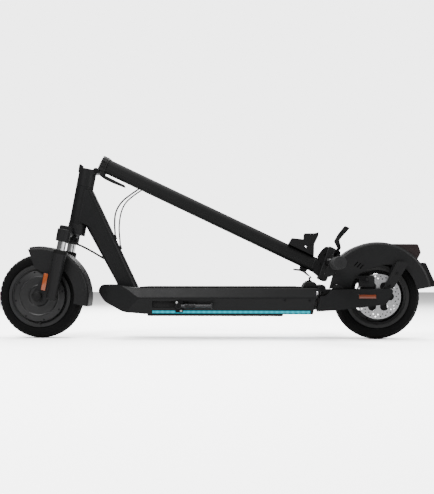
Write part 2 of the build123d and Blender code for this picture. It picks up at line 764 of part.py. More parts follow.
def brake_perch():
    perch = rod(bar_x, bar_z, 16, perch_out - 1, perch_out + 17)
    perch += slab([(bar_x - 4, bar_z - 14), (bar_x - 4, bar_z + 8, 4), (lever_x - 8, lever_z + 9, 5),
                   (lever_x - 8, lever_z - 9, 5)], perch_out, perch_out + 17)
    barrel = Pos(lever_x + 7, perch_out + 26, lever_z) * Cylinder(5, 22, rotation=(90, 0, 0))
    perch += barrel
    slot = block(lever_x - 12, lever_x + 11.5, perch_out - 4, lever_y + 9, lever_z - 4.5, lever_z + 4.5)
    perch -= slot
    perch -= rod(bar_x, bar_z, bar_radius, perch_out - 5, perch_out + 40)
    perch += post(lever_x, lever_y, lever_pin_radius, lever_z - 6, lever_z + 6)
    return placed(stem, perch)


def brake_lever():
    # the blade sweeps forward and out over the grip, bends twice and ends thick and rounded
    tip_y = 42 - bar_width / 2
    swept = [
        (6, lever_y + 6, 0), (-7, lever_y + 6, 5), (-10, lever_y - 8, 12), (-38, lever_y - 40, 30),
        (-54, tip_y + 30, 30), (-74, tip_y, 7), (-58, tip_y - 5, 7), (-40, tip_y + 32, 30),
        (-22, lever_y - 42, 30), (4, lever_y - 9, 10),
    ]
    points = [(lever_x + x, y, lever_z - 30) for x, y, r in swept]
    outline = FilletPolyline(*points, radius=[r for x, y, r in swept], close=True)
    blade = extrude(Face(Wire(outline.edges())), amount=60, dir=(0, 0, 1))
    bent = [
        (8, -4.2), (-13, -4.2, 3), (-24, -21, 6), (-44, -21, 10), (-68, -17, 6), (-75, -6, 6), (-70, -2, 4),
        (-44, -8, 10), (-31, -10, 6), (-16, 4.2, 4), (8, 4.2),
    ]
    side = [(lever_x + corner[0], lever_z + corner[1], *corner[2:]) for corner in bent]
    blade &= slab(side, tip_y - 20, lever_y + 20)
    blade -= post(lever_x, lever_y, lever_pin_radius + running_fit, lever_z - 6, lever_z + 6)
    return placed(stem, blade)


def switch_pod():
    y_low = -pod_low
    y_high = y_low + 19
    body = rod(bar_x, bar_z, 16, y_low, y_high)
    body += slab([(bar_x - 8, bar_z - 14), (bar_x - 6, bar_z + 13), (bar_x + 30, bar_z + 10, 8),
                  (bar_x + 45, bar_z - 2, 8), (bar_x + 40, bar_z - 16, 8),
                  (bar_x + 14, bar_z - 15)], y_low, y_high)
    body -= rod(bar_x, bar_z, bar_radius, y_low - 1, y_high + 1)
    body -= post(bar_x + 30, y_low + 9.5, 4.9, bar_z + 1, bar_z + 15)
    return placed(stem, body)


def horn_button():
    cap = post(bar_x + 30, -pod_low + 9.5, 4.5, bar_z + 4.5, bar_z + 13.5)
    cap = fillet(cap.edges().filter_by(GeomType.CIRCLE).sort_by(Axis.Z)[-1], 1)
    return placed(stem, cap)


def throttle_housing():
    ring = rod(bar_x, bar_z, 17, paddle_low, -perch_out + 1)
    ring -= rod(bar_x, bar_z, bar_radius, paddle_low - 1, -perch_out + 2)
    return placed(stem, ring)


def throttle_paddle():
    # a thumb paddle on a ring that turns on the bar
    low = paddle_low - 12.5
    ring = rod(bar_x, bar_z, 15, low, paddle_low - body_gap)
    ring += slab([(bar_x, bar_z - 14), (bar_x + 14, bar_z - 14, 6), (bar_x + 42, bar_z - 18, 5),
                  (bar_x + 45, bar_z - 10, 4), (bar_x + 12, bar_z + 4, 6), (bar_x, bar_z + 4)],
                 low, paddle_low - body_gap)
    ring -= rod(bar_x, bar_z, bar_radius + running_fit, low - 1, paddle_low + 1)
    return placed(stem, ring)


def headlight_housing():
    front = -stem_depth / 2
    profile = [
        (0, -50), (20, -48, 3), (32, -14, 1), (48, -21, 2), (61, 6, 12), (69, 15, 1), (58, 19, 2),
        (31, 19, 6),
        (0, 33),
    ]
    side = [(front - corner[0], lamp_z + corner[1], *corner[2:]) for corner in profile]
    shell = slab(side, -lamp_half, lamp_half)
    shell -= block(front - 76, front - 44, -lamp_half + 5, lamp_half - 5, lamp_z - 7, lamp_z + 11)
    shell -= rod(front - 16, lamp_z, lock_eye_radius, -60, 60)
    return placed(stem, shell)


def headlight_lens():
    front = -stem_depth / 2
    lens = slab([(front - 44.3, lamp_z - 6.6), (front - 52, lamp_z - 6.6, 2), (front - 58, lamp_z + 8, 3),
                 (front - 58, lamp_z + 10.6),
                 (front - 44.3, lamp_z + 10.6)], -lamp_half + 5.4, lamp_half - 5.4)
    return placed(stem, lens)


def hook_block():
    face = stem_depth / 2
    base = slab([(face, hook_z - 12), (hook_x + 5, hook_z - 9, 4), (hook_x + 5, hook_z + 9, 4),
                 (face, hook_z + 12)], -10, 10)
    base -= block(face + 2, hook_x + 10, -3.5, 3.5, hook_z - 20, hook_z + 20)
    base += rod(hook_x, hook_z, 2.2, -5, 5)
    return placed(stem, base)


def fold_hook():
    # a sheet hook with a finger tab; its claw rests over the catch's cross rod
    x, z = catch_local_x, hook_reach
    inner = catch_radius + 0.6
    outer = inner + 3.0
    hook = rod(hook_x, hook_z, 4.5, -3, 3)
    hook += slab([(hook_x - 3, hook_z), (hook_x + 8, hook_z - 27), (hook_x + 12, hook_z - 25),
                  (hook_x + 4, hook_z)], -3, 3)
    hook += slab([(hook_x - 3.5, hook_z), (x - outer + 0.5, z), (x - inner, z - 7),
                  (hook_x + 4, hook_z)], -3, 3)
    hook += rod(x, z, outer, -3, 3) & fan(x, z, 108, 200, 40, -3, 3)
    hook -= rod(x, z, inner, -4, 4)
    return placed(stem, hook - rod(hook_x, hook_z, 2.2 + running_fit, -4, 4))


# ---- rear end ----

def swing_arm():
    # two side blades joined by a cross piece behind the deck
    front = deck_end_x
    a = rear_axle_x
    blade_profile = [
        (pivot_x + 8, axle_z + 20, 4), (a + 33, axle_z + 22.5, 6), (a + 38, axle_z + 16, 6),
        (a + 30, axle_z - 4, 20), (a + 20, axle_z - 19, 12), (a, axle_z - 24, 30), (a - 56, axle_z - 31, 80),
        (a - 122, axle_z - 39, 60), (front - 3, axle_z - 43, 3), (front + 8, axle_z, 4),
    ]
    blade = slab(blade_profile, -arm_outer, -arm_outer + arm_thickness)
    blade -= rod(a, axle_z, axle_radius + 0.02, -arm_outer + 6, -arm_outer + arm_thickness + 1)
    blade -= block(a - 60, a - 8, -arm_outer - 1, -arm_outer + 2, axle_z - 7, axle_z + 8)
    blade -= rod(pivot_x, pivot_z, 22, -arm_outer - 1, -arm_outer + 12.5)
    # an ear inside each blade turns on the pivot pin
    ear_outer = arm_thickness + 0.5 - arm_outer
    ear = rod(pivot_x, pivot_z, 11, ear_outer, -34.5)
    ear += slab([(pivot_x - 4, pivot_z - 11), (pivot_x + 11, pivot_z), (pivot_x + 20, axle_z + 4),
                 (pivot_x + 14, axle_z - 10), (pivot_x + 2, axle_z - 10)], ear_outer, -34.5)
    side = blade + ear
    cross = slab([(front + 9.5, axle_z, 2), (front + 0.5, axle_z - 38, 2), (pivot_x + 16, axle_z - 36, 4),
                  (pivot_x + 20, axle_z - 2, 6),
                  (pivot_x + 14, axle_z + 4, 4)], -arm_outer + 20, arm_outer - 20)
    whole = side + mirrored(side) + cross
    whole -= rod(pivot_x, pivot_z, pivot_pin_radius + running_fit, -arm_outer, arm_outer)
    return whole


def behind_cockpit(offset):
    # the space behind the sloping front wall, which leaves room for the folded cockpit
    foot = rear_axle_x - wheel_radius - 8.5 + offset
    back = rear_axle_x + 200
    high = axle_z + 174
    return slab([(foot, axle_z + 20), (foot + 40, high), (back, high), (back, axle_z + 20)], -90, 90)


def rear_fender():
    x, z = rear_axle_x, axle_z
    half = rear_fender_half
    outer = wheel_radius + rear_fender_gap + fender_wall
    # the deep front part has a window that shows the brake
    shell = arc_band(x, z, wheel_radius - 55, outer, 60, 166, half)
    shell -= slab([(x - 76, z + 20), (x - 72, z + 42, 10), (x - 50, z + 67, 20), (x - 20, z + 82, 30),
                   (x + 10, z + 91, 30), (x + 43, z + 92, 3), (x + 12, z + 20)], -half - 1, half + 1)
    shell += arc_band(x, z, wheel_radius - 12, outer, 10, 62, half)
    shell = round_arcs(shell, outer, 12)
    shell += slab([(pivot_x + 28, z + 24), (pivot_x + 32, z + 46), (x - 112, z + 66), (x - 92, z + 24)],
                  -half, half)
    shell &= behind_cockpit(0)
    inner = round_arcs(rod(x, z, outer - fender_wall, -half + 3, half - 3), outer - fender_wall, 10)
    shell -= inner & behind_cockpit(fender_wall)
    # each side stands on the swing arm by a strut beside the wheel and a foot behind the pivot
    strut = slab([(x + 14, z + 22.7), (x + 45, z + 86), (x + 54, z + 102, 8), (x + 86, z + 98, 8),
                  (x + 80, z + 86), (x + 41, z + 22.7)], -64, -52)
    link = slab([(x + 41, z + 78), (x + 54, z + 102, 8), (x + 86, z + 98, 8),
                 (x + 74, z + 77)], -58, 2 - half)
    foot = slab([(pivot_x + 30, z + 21.5), (pivot_x + 34, z + 33, 4), (pivot_x + 48, z + 33, 4),
                 (pivot_x + 66, z + 23)], -70, 3 - half)
    side = strut + link + foot
    shell += side
    shell += mirrored(side)
    for i in range(3):
        shell -= Pos(x - 62 + 8 * i, 0, z + 94 - 4 * i) * Box(16, 4 * half, 3, rotation=(0, -48, 0))
    return shell.solids().sort_by(SortBy.VOLUME)[-1]


def tail_light():
    # a box with a level top that stands out of the fender's crown
    x, z = rear_axle_x, axle_z
    outer = wheel_radius + rear_fender_gap + fender_wall
    lamp = slab([(x + 36, z + 140), (x + 36, z + 152.5), (x + 119, z + 152, 7), (x + 127.5, z + 127, 6),
                 (x + 117, z + 106, 3), (x + 100, z + 106)], -21, 21)
    return lamp - rod(x, z, outer, -22, 22)


def rear_plate():
    # a ribbed black plate under the tail, for a reflector
    x, z = rear_axle_x, axle_z
    outer = wheel_radius + rear_fender_gap + fender_wall
    tail = overall_length / 2
    plate = slab([(tail - 42, z + 98, 2), (tail - 28, z + 97, 3), (tail, z + 36, 3), (tail - 6, z + 27, 2),
                  (tail - 17, z + 30, 2)], -30, 30)
    plate -= rod(x, z, outer + 0.2, -40, 40)
    for i in range(6):
        plate -= block(tail - 60, tail + 5, -31, -29, z + 40 + 8 * i, z + 43 + 8 * i)
        plate -= block(tail - 60, tail + 5, 29, 31, z + 40 + 8 * i, z + 43 + 8 * i)
    return plate


def rear_axle():
    end = arm_outer - 6
    shaft = rod(rear_axle_x, axle_z, axle_radius, -end, end)
    spacer = rod(rear_axle_x, axle_z, 11, -arm_outer + arm_thickness, -disc_offset - 5)
    spacer -= rod(rear_axle_x, axle_z, axle_radius, -arm_outer, 0)
    return Compound(children=[shaft.solid(), *both_sides(spacer).solids()])


def rear_rim():
    r = rim_radius
    half_profile = [
        (axle_radius + running_fit, 42), (23, 42), (23, 5, 4), (r - 12, 5, 4), (r - 12, 24), (r - 5, 25.5),
        (r - 5, 29), (r + 4.5, 29, 1), (r + 4.5, 25.5, 1), (r, 24.5), (r, 14), (r - 4, 10),
    ]
    rim = turned(half_profile + other_half(half_profile), rear_axle_x, axle_z)
    # the hub is relieved between its two bearings
    rim -= rod(rear_axle_x, axle_z, 16, -30, 30)
    for i in range(6):
        turn = radians(30 + 60 * i)
        rim -= rod(rear_axle_x + 53 * cos(turn), axle_z + 53 * sin(turn), 14, -12, 12)
    return rim


def brake_disc():
    y = -disc_offset
    half = disc_thickness / 2
    disc = rod(rear_axle_x, axle_z, disc_radius, y - half, y + half)
    spokes = 6
    for i in range(spokes):
        turn = radians(360 * i / spokes)
        disc -= rod(rear_axle_x + 34 * cos(turn), axle_z + 34 * sin(turn), 11.5, y - 5, y + 5)
    holes = 24
    for ring, reach in enumerate((52.0, 58.5)):
        for i in range(holes):
            turn = radians(360 * (i + ring / 2) / holes)
            disc -= rod(rear_axle_x + reach * cos(turn), axle_z + reach * sin(turn), 1.9, y - 5, y + 5)
    carrier = rod(rear_axle_x, axle_z, 20, y + half, -42)
    disc += carrier
    return disc - rod(rear_axle_x, axle_z, axle_radius + running_fit, -90, 0)


caliper_turn = radians(128)
caliper_x = rear_axle_x + 55 * cos(caliper_turn)
caliper_z = axle_z + 55 * sin(caliper_turn)


def caliper_body():
    y = -disc_offset
    body = block(caliper_x - 22, caliper_x + 22, y - 16, y + 10, caliper_z - 16, caliper_z + 16)
    body = fillet(body.edges().filter_by(Axis.Y), 6)
    body -= rod(rear_axle_x, axle_z, disc_radius + 2, y - 4, y + 4)
    reach = -arm_outer + arm_thickness
    body += block(caliper_x - 14, caliper_x + 14, reach, y - 4, caliper_z - 26, caliper_z - 12)
    body -= rod(rear_axle_x, axle_z, disc_radius + 2, y - 4, y + 4)
    body += rod(caliper_x, caliper_z + 6, 4, y - 24, y - 15)
    return body


def caliper_arm():
    y = -disc_offset - 16 - body_gap
    pin_z = caliper_z + 6
    arm = slab([(caliper_x - 7, pin_z - 7, 6), (caliper_x - 30, pin_z + 4, 3),
                (caliper_x - 32, pin_z + 10, 3),
                (caliper_x - 2, pin_z + 8, 6), (caliper_x + 7, pin_z + 2, 5), (caliper_x + 4, pin_z - 7, 4)],
               y - 4, y)
    return arm - rod(caliper_x, pin_z, 4 + running_fit, y - 6, y + 2)


# ---- cables ----

def stem_point(x, z, y):
    return (
        stem_x - x * sin(fold_drop) + z * cos(fold_drop),
        y,
        stem_z - x * cos(fold_drop) - z * sin(fold_drop),
    )


def tube_rear(z, out):
    # a point off the down tube's rear face at height z
    head_x = seat_x + head_radius * cos(lean) + (head_length - 8) * sin(lean)
    head_z = seat_z - head_radius * sin(lean) + (head_length - 8) * cos(lean)
    foot_x = nose_x + 117
    foot_z = axle_z + deck_top
    slope = (foot_x - head_x) / (head_z - foot_z)
    return head_x + (head_z - z) * slope + out


outer_loop = [
    stem_point(5, 147, -5), stem_point(21, 136, -5), stem_point(47, 121, -5), stem_point(76, 106, -5),
    (tube_rear(axle_z + 250, 38), -5, axle_z + 250), (tube_rear(axle_z + 214, 18), -4, axle_z + 214),
    (tube_rear(axle_z + 176, 3), -4, axle_z + 176), (tube_rear(axle_z + 140, -14), -4, axle_z + 140),
]
inner_loop = [
    stem_point(5, 154, 5), stem_point(21, 143, 5), stem_point(46, 128, 5), stem_point(76, 115, 5),
    (tube_rear(axle_z + 246, 50), 4, axle_z + 246), (tube_rear(axle_z + 200, 23), 4, axle_z + 200),
    (tube_rear(axle_z + 150, 5), 4, axle_z + 150), (tube_rear(axle_z + 114, -14), 4, axle_z + 114),
]
motor_route = [
    (seat_x - 30, -46, seat_z - 58), (seat_x - 10, -44, seat_z - 58.5), (seat_x + 12, -36, seat_z - 65),
    (seat_x + 38, -22, seat_z - 79), (seat_x + 62, -9, seat_z - 94), (seat_x + 88, -2, seat_z - 110),
    (seat_x + 104, 0, seat_z - 118),
]
outer_radius = 2.5
inner_radius = 2.2
motor_radius = 3.0
hole_clearance = 0.7


def stem_cables():
    cables = [cable(outer_loop, outer_radius), cable(inner_loop, inner_radius)]
    return Compound(children=[solid for each in cables for solid in each.solids()])


def motor_cable():
    return cable(motor_route, motor_radius)


def down_tube_with_holes():
    # the cables pass through round holes in its wall
    tube = down_tube()
    for route, radius in ((outer_loop, outer_radius), (inner_loop, inner_radius),
                          (motor_route, motor_radius)):
        tube -= cable(route, radius + hole_clearance)
    return tube


def crown_with_hole():
    return fork_crown() - cable(motor_route, motor_radius + body_gap)


parts = {
    "deck_shell": deck_shell,
    "head_tube": head_shell,
    "down_tube": down_tube_with_holes,
    "headset_bearings": headset,
    "deck_mat": deck_mat,
    "battery_cover": battery_cover,
    "battery_pack": battery_pack,
    "controller": controller_box,
    "led_strips": led_strips,
    "port_panel": port_panel,
    "port_cap": port_cap,
    "kickstand_bracket": kickstand_bracket,
    "kickstand_leg": kickstand_leg,
    "rear_deck_cap": rear_deck_cap,
    "catch_loop": catch_loop,
    "pivot_bracket": pivot_bracket,
    "pivot_bolt": pivot_bolt,
    "fork_crown": crown_with_hole,
    "stanchion_tubes": stanchion_tubes,
    "fold_collar": fold_collar,
    "fold_pin": fold_pin,
    "latch_striker": latch_striker,
    "fork_lowers": fork_lowers,
    "dust_seals": dust_seals,
    "front_axle": front_axle,
    "motor_stator": motor_stator,
    "front_fender": front_fender,
    "hub_shell": hub_shell,
    "hub_covers": hub_covers,
    "front_tyre": lambda: tyre(front_axle_x),
    "stem_tube": stem_tube,
    "stem_flange": stem_flange,
    "latch_lever": latch_lever,
    "stem_head": stem_head,
    "cockpit_housing": cockpit_housing,
    "power_button": power_button,
    "handlebar": handlebar,
    "grips": grips,
    "brake_perch": brake_perch,
    "brake_lever": brake_lever,
    "switch_pod": switch_pod,
    "horn_button": horn_button,
    "throttle_housing": throttle_housing,
    "throttle_paddle": throttle_paddle,
    "headlight_housing": headlight_housing,
    "headlight_lens": headlight_lens,
    "hook_block": hook_block,
    "fold_hook": fold_hook,
    "swing_arm": swing_arm,
    "rear_fender": rear_fender,
    "tail_light": tail_light,
    "rear_plate": rear_plate,
    "rear_axle": rear_axle,
    "rear_rim": rear_rim,
    "rear_tyre": lambda: tyre(rear_axle_x),
    "brake_disc": brake_disc,
    "caliper_body": caliper_body,
    "caliper_arm": caliper_arm,
    "stem_cables": stem_cables,
    "motor_cable": motor_cable,
}

os.makedirs("parts", exist_ok=True)
for name, make in parts.items():
    export_step(make(), f"parts/{name}.step")
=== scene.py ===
import bmesh
import bpy
import json
from math import atan2, cos, pi, radians, sin
from mathutils import Matrix, Vector


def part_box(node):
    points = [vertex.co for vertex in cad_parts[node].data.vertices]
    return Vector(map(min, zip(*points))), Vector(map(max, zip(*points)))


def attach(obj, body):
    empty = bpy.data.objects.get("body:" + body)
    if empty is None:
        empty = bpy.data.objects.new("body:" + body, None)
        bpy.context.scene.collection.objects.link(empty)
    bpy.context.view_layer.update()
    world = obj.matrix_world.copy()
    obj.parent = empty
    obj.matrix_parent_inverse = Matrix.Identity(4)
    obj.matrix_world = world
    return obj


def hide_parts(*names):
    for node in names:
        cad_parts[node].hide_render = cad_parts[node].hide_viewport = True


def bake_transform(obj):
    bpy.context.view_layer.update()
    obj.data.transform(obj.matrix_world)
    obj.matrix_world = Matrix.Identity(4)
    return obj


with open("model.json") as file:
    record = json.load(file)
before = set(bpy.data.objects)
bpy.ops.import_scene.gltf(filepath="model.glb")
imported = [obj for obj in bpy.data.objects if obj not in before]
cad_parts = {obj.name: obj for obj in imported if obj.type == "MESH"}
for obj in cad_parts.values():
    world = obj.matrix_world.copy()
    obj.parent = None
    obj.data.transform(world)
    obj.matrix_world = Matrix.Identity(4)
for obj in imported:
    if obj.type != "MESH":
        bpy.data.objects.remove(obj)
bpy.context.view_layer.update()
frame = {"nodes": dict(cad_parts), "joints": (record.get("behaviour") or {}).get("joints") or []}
print("frame loaded")

millimetre = 0.001
nodes = frame["nodes"]
joints = {joint["name"]: joint for joint in frame["joints"]}


# where things are

def frameAlong(origin, up):
    # x towards the rider, y to the right, z along up; shapes are drawn in millimetres
    up = Vector(up)
    out = Vector((up.z, 0, -up.x))
    turn = Matrix((out, Vector((0, 1, 0)), up)).transposed().to_4x4()
    return Matrix.Translation(origin) @ turn @ Matrix.Scale(millimetre, 4)


stem = {"hingeLead": 27.0, "hookDrop": 28.0, "lampDrop": 50.0, "half": (21.5, 21.0)}
stemUp = Vector(joints["brake_squeeze"]["axis"])
stemOut = Vector((stemUp.z, 0, -stemUp.x))
hinge = Vector(joints["stem_fold"]["pos_m"])
stemPlace = frameAlong(hinge - stemOut * stem["hingeLead"] * millimetre, stemUp)
steerPlace = frameAlong(Vector(joints["steer"]["pos_m"]), joints["steer"]["axis"])
worldPlace = Matrix.Scale(millimetre, 4)
frontAxle = Vector(joints["front_spin"]["pos_m"]) / millimetre
rearAxle = Vector(joints["rear_spin"]["pos_m"]) / millimetre
barAxis = stemPlace.inverted() @ Vector(joints["throttle_turn"]["pos_m"])
hookPivot = stemPlace.inverted() @ Vector(joints["hook_turn"]["pos_m"])
stemTop = hookPivot.z + stem["hookDrop"]
lampHigh = stemTop - stem["lampDrop"]


# camera, light and floor

camera = {"place": (0.134, -2.5, 0.175), "yaw": 2.9, "lens": 61.6, "shift": 0.065}
lights = {
    "keyLight": {"place": (-1.2, -2.2, 2.4), "aim": (0, 0, 0.2), "size": (1.5, 1.1), "power": 95},
    "topLight": {"place": (0.3, 0.2, 2.6), "aim": (0, 0, 0.2), "size": (2.2, 1.4), "power": 75},
    "sideLight": {"place": (2.4, -0.9, 1.2), "aim": (0.1, 0, 0.2), "size": (1.0, 1.4), "power": 34},
    "backLight": {"place": (-0.6, 2.2, 1.8), "aim": (0, 0, 0.25), "size": (2.0, 1.2), "power": 60},
}


def addCamera():
    data = bpy.data.cameras.new("camera")
    data.lens = camera["lens"]
    data.shift_y = camera["shift"]
    seen = bpy.data.objects.new("camera", data)
    seen.location = camera["place"]
    seen.rotation_euler = (pi / 2, 0, radians(camera["yaw"]))
    bpy.context.scene.collection.objects.link(seen)
    bpy.context.scene.camera = seen


def addLight(name, light):
    data = bpy.data.lights.new(name, "AREA")
    data.shape = "RECTANGLE"
    data.size, data.size_y = light["size"]
    data.energy = light["power"]
    lamp = bpy.data.objects.new(name, data)
    lamp.location = light["place"]
    lamp.rotation_euler = (Vector(light["aim"]) - lamp.location).to_track_quat("-Z", "Y").to_euler()
    bpy.context.scene.collection.objects.link(lamp)


addCamera()
for name, light in lights.items():
    addLight(name, light)
print("camera and lights placed")


# shader maths

class Wire:
    # one output socket, with arithmetic
    def __init__(self, board, socket):
        self.board = board
        self.socket = socket

    def maths(self, operation, first, second):
        return self.board.node("Math", {"operation": operation}, {0: first, 1: second})

    def __add__(self, other):
        return self.maths("ADD", self, other)

    def __radd__(self, other):
        return self.maths("ADD", other, self)

    def __sub__(self, other):
        return self.maths("SUBTRACT", self, other)

    def __rsub__(self, other):
        return self.maths("SUBTRACT", other, self)

    def __mul__(self, other):
        return self.maths("MULTIPLY", self, other)

    def __rmul__(self, other):
        return self.maths("MULTIPLY", other, self)

    def __truediv__(self, other):
        return self.maths("DIVIDE", self, other)

    def __pow__(self, other):
        return self.maths("POWER", self, other)


class Board:
    # a node tree and the one way to add a node to it
    def __init__(self, tree):
        self.tree = tree

    def node(self, kind, settings=None, inputs=None, output=0):
        made = self.tree.nodes.new("ShaderNode" + kind)
        for key, value in (settings or {}).items():
            setattr(made, key, value)
        for key, value in (inputs or {}).items():
            self.feed(made.inputs[key], value)
        return Wire(self, made.outputs[output])

    def feed(self, socket, value):
        if isinstance(value, Wire):
            self.tree.links.new(value.socket, socket)
        else:
            socket.default_value = value


class Paint(Board):
    # a material being mixed
    def __init__(self, name, rough, metal=0.0, coat=0.0):
        self.material = bpy.data.materials.new(name)
        self.material.use_nodes = True
        super().__init__(self.material.node_tree)
        self.shader = self.tree.nodes["Principled BSDF"]
        self.set({"Roughness": rough, "Metallic": metal, "Coat Weight": coat})
        self.place = self.node("TexCoord", output="Object")

    def set(self, values):
        for key, value in values.items():
            self.feed(self.shader.inputs[key], value)

    def noise(self, scale, detail=3.0, stretch=None):
        place = self.place
        if stretch:
            place = self.node("Mapping", {}, {"Vector": place, "Scale": stretch})
        return self.node("TexNoise", {}, {"Vector": place, "Scale": scale, "Detail": detail})

    def tint(self, factor, first, second):
        return self.node("Mix", {"data_type": "RGBA"}, {0: factor, 6: (*first, 1), 7: (*second, 1)}, 2)

    def blendColours(self, factor, first, second):
        return self.node("Mix", {"data_type": "RGBA"}, {0: factor, 6: first, 7: second}, 2)

    def clamp(self, value, low, high):
        # 0 up to low, 1 from high
        return self.node("MapRange", {}, {"Value": value, "From Min": low, "From Max": high})

    def bump(self, height, strength, depth):
        settings = {"Height": height, "Strength": strength, "Distance": depth}
        self.set({"Normal": self.node("Bump", {}, settings)})

    def radius(self, centre):
        # distance from an axis along Y through centre, in millimetres
        parts = self.node("SeparateXYZ", {}, {0: self.place})
        high = Wire(self, parts.socket.node.outputs[2])
        across = parts - centre[0] * millimetre
        rise = high - centre[2] * millimetre
        return (across * across + rise * rise) ** 0.5 / millimetre

    def edgeWearAndHighlight(self, width):
        # rises along sharp edges: partly edge wear, partly a painted highlight
        rounded = self.node("Bevel", {"samples": 4}, {"Radius": width})
        flat = self.node("NewGeometry", output="Normal")
        facing = self.node("VectorMath", {"operation": "DOT_PRODUCT"}, {0: rounded, 1: flat}, "Value")
        return self.clamp(1 - facing, 0.02, 0.22)


# how strongly each kind of surface mirrors
mirroring = {"coat": 0.2, "plastic": 0.22, "rubber": 0.16, "tyre": 0.12, "turned": 0.3, "mat": 0.15,
             "strip": 0.1}


def paler(colour, times, more=0.0):
    return tuple(min(1.0, channel * times + more) for channel in colour)


def coated(name, colour, rough, grain, wearAndHighlight):
    # powder coat: orange peel, a faint cloud of dust and paler edges that are partly edge wear and partly a
    # painted highlight
    paint = Paint(name, rough)
    speck = paint.noise(2600, 2)
    base = paint.tint(paint.noise(14, 4), colour, paler(colour, 1.25, 0.0012))
    # paler sharp edges: partly edge wear, partly a painted highlight on the edges
    scuffsAndHighlight = paint.edgeWearAndHighlight(0.0012) * paint.clamp(paint.noise(90, 5), 0.35, 0.7) * wearAndHighlight
    paint.set({"Base Color": paint.blendColours(scuffsAndHighlight, base, (*paler(colour, 2, 0.006), 1))})
    paint.set({"Roughness": paint.noise(55, 4) * 0.12 + speck * 0.05 + (rough - 0.085)})
    paint.set({"Specular IOR Level": mirroring["coat"]})
    paint.bump(speck + paint.noise(900, 2) * 0.6, grain, 0.0002)
    return paint.material


def moulded(name, colour, rough, grain):
    # moulded plastic with a fine spark-eroded texture
    paint = Paint(name, rough)
    pits = paint.node("TexVoronoi", {}, {"Vector": paint.place, "Scale": 1500})
    paint.set({"Base Color": paint.tint(paint.noise(22, 5), colour, paler(colour, 1.3, 0.001))})
    paint.set({"Roughness": paint.noise(70, 3) * 0.14 + pits * 0.06 + (rough - 0.1)})
    paint.set({"Specular IOR Level": mirroring["plastic"]})
    paint.bump(pits + paint.noise(3000, 2) * 0.5, grain, 0.00015)
    return paint.material


def rubbery(name, colour, rough):
    # soft dull rubber with dust in its pores
    paint = Paint(name, rough)
    dust = paint.clamp(paint.noise(36, 6), 0.45, 0.8)
    paint.set({"Base Color": paint.tint(dust, colour, paler(colour, 1.5, 0.0015))})
    paint.set({"Roughness": paint.noise(120, 3) * 0.15 + (rough - 0.08)})
    paint.set({"Specular IOR Level": mirroring["rubber"]})
    paint.bump(paint.noise(1800, 4), 0.25, 0.0002)
    return paint.material


wheelPaint = {"ringPitch": 3.4, "dustReach": (116, 132), "clean": (0.0026, 0.0026, 0.0027),
              "dusty": (0.0085, 0.0083, 0.008)}


def wheelRubber(name, centre):
    # fine moulding rings on the side wall and dust near the tread
    paint = Paint(name, 0.78)
    reach = paint.radius(centre)
    rings = paint.node("Math", {"operation": "SINE"}, {0: reach * wheelPaint["ringPitch"]})
    dust = paint.clamp(reach + paint.noise(60, 5) * 14, *wheelPaint["dustReach"]) * 0.6
    paint.set({"Base Color": paint.tint(dust, wheelPaint["clean"], wheelPaint["dusty"])})
    paint.set({"Roughness": paint.noise(160, 4) * 0.2 + 0.68, "Specular IOR Level": mirroring["tyre"]})
    paint.bump(rings * 0.5 + paint.noise(1500, 4), 0.3, 0.0003)
    return paint.material


def machinedFace(name, colour, rough, centre, metal, pitch):
    # a turned face with fine rings round the axle
    paint = Paint(name, rough, metal)
    reach = paint.radius(centre)
    rings = paint.node("Math", {"operation": "SINE"}, {0: reach * pitch})
    paint.set({"Base Color": paint.tint(paint.noise(30, 4), colour, paler(colour, 1.25))})
    paint.set({"Roughness": paint.noise(200, 3) * 0.15 + rings * 0.03 + (rough - 0.07)})
    if not metal:
        paint.set({"Specular IOR Level": mirroring["turned"]})
    paint.bump(rings * 0.3 + paint.noise(1400, 3) * 0.7, 0.12, 0.0002)
    return paint.material


def bareMetal(name, colour, rough, stretch=(1, 1, 1)):
    # drawn or ground metal: lines along the stretch and a few duller stains
    paint = Paint(name, rough, 1.0)
    lines = paint.noise(900, 3, stretch)
    stain = paint.clamp(paint.noise(40, 5), 0.3, 0.85)
    paint.set({"Base Color": paint.tint(stain, colour, paler(colour, 0.78))})
    paint.set({"Roughness": lines * 0.14 + stain * 0.08 + (rough - 0.1)})
    paint.bump(lines, 0.1, 0.0001)
    return paint.material


strip = {"diodePitch": 420.0, "between": (0.0, 0.34, 0.46), "diode": (0.0, 0.56, 0.70),
         "unlit": (0.0, 0.03, 0.04, 1), "power": 1.15}


def lightStrip(name):
    # cyan diffuser with the diodes showing as brighter spots along its length
    paint = Paint(name, 0.3)
    along = paint.node("SeparateXYZ", {}, {0: paint.place})
    spots = paint.node("Math", {"operation": "SINE"}, {0: along * strip["diodePitch"]})
    glow = paint.clamp(spots + paint.noise(300, 2) * 0.4, -1.2, 1.4)
    shade = paint.tint(glow, strip["between"], strip["diode"])
    paint.set({"Base Color": strip["unlit"], "Emission Color": shade, "Emission Strength": strip["power"]})
    paint.set({"Specular IOR Level": mirroring["strip"]})
    paint.bump(paint.noise(2000, 2), 0.08, 0.0001)
    return paint.material


def prismatic(name, colour, scale, rough=0.18):
    # reflector plastic: small facets under a glossy face
    paint = Paint(name, rough, 0.0, 0.6)
    cells = paint.node("TexVoronoi", {"feature": "F1", "distance": "CHEBYCHEV"},
                       {"Vector": paint.place, "Scale": scale, "Randomness": 0.0})
    facets = paint.clamp(cells, 0.1, 0.6)
    paint.set({"Base Color": paint.tint(facets, colour, paler(colour, 0.55)), "Coat Roughness": 0.08})
    paint.set({"Roughness": facets * 0.2 + rough})
    paint.bump(cells, 0.5, 0.0006)
    return paint.material


def clearPlastic(name, colour, rough, alpha):
    # smooth clear cover with a faint smear
    paint = Paint(name, rough, 0.0, 0.5)
    smear = paint.clamp(paint.noise(60, 5), 0.4, 0.8)
    paint.set({"Base Color": paint.tint(smear, colour, paler(colour, 1.1, 0.01))})
    paint.set({"Roughness": smear * 0.1 + rough, "Alpha": alpha})
    paint.bump(paint.noise(400, 2), 0.04, 0.0001)
    return paint.material


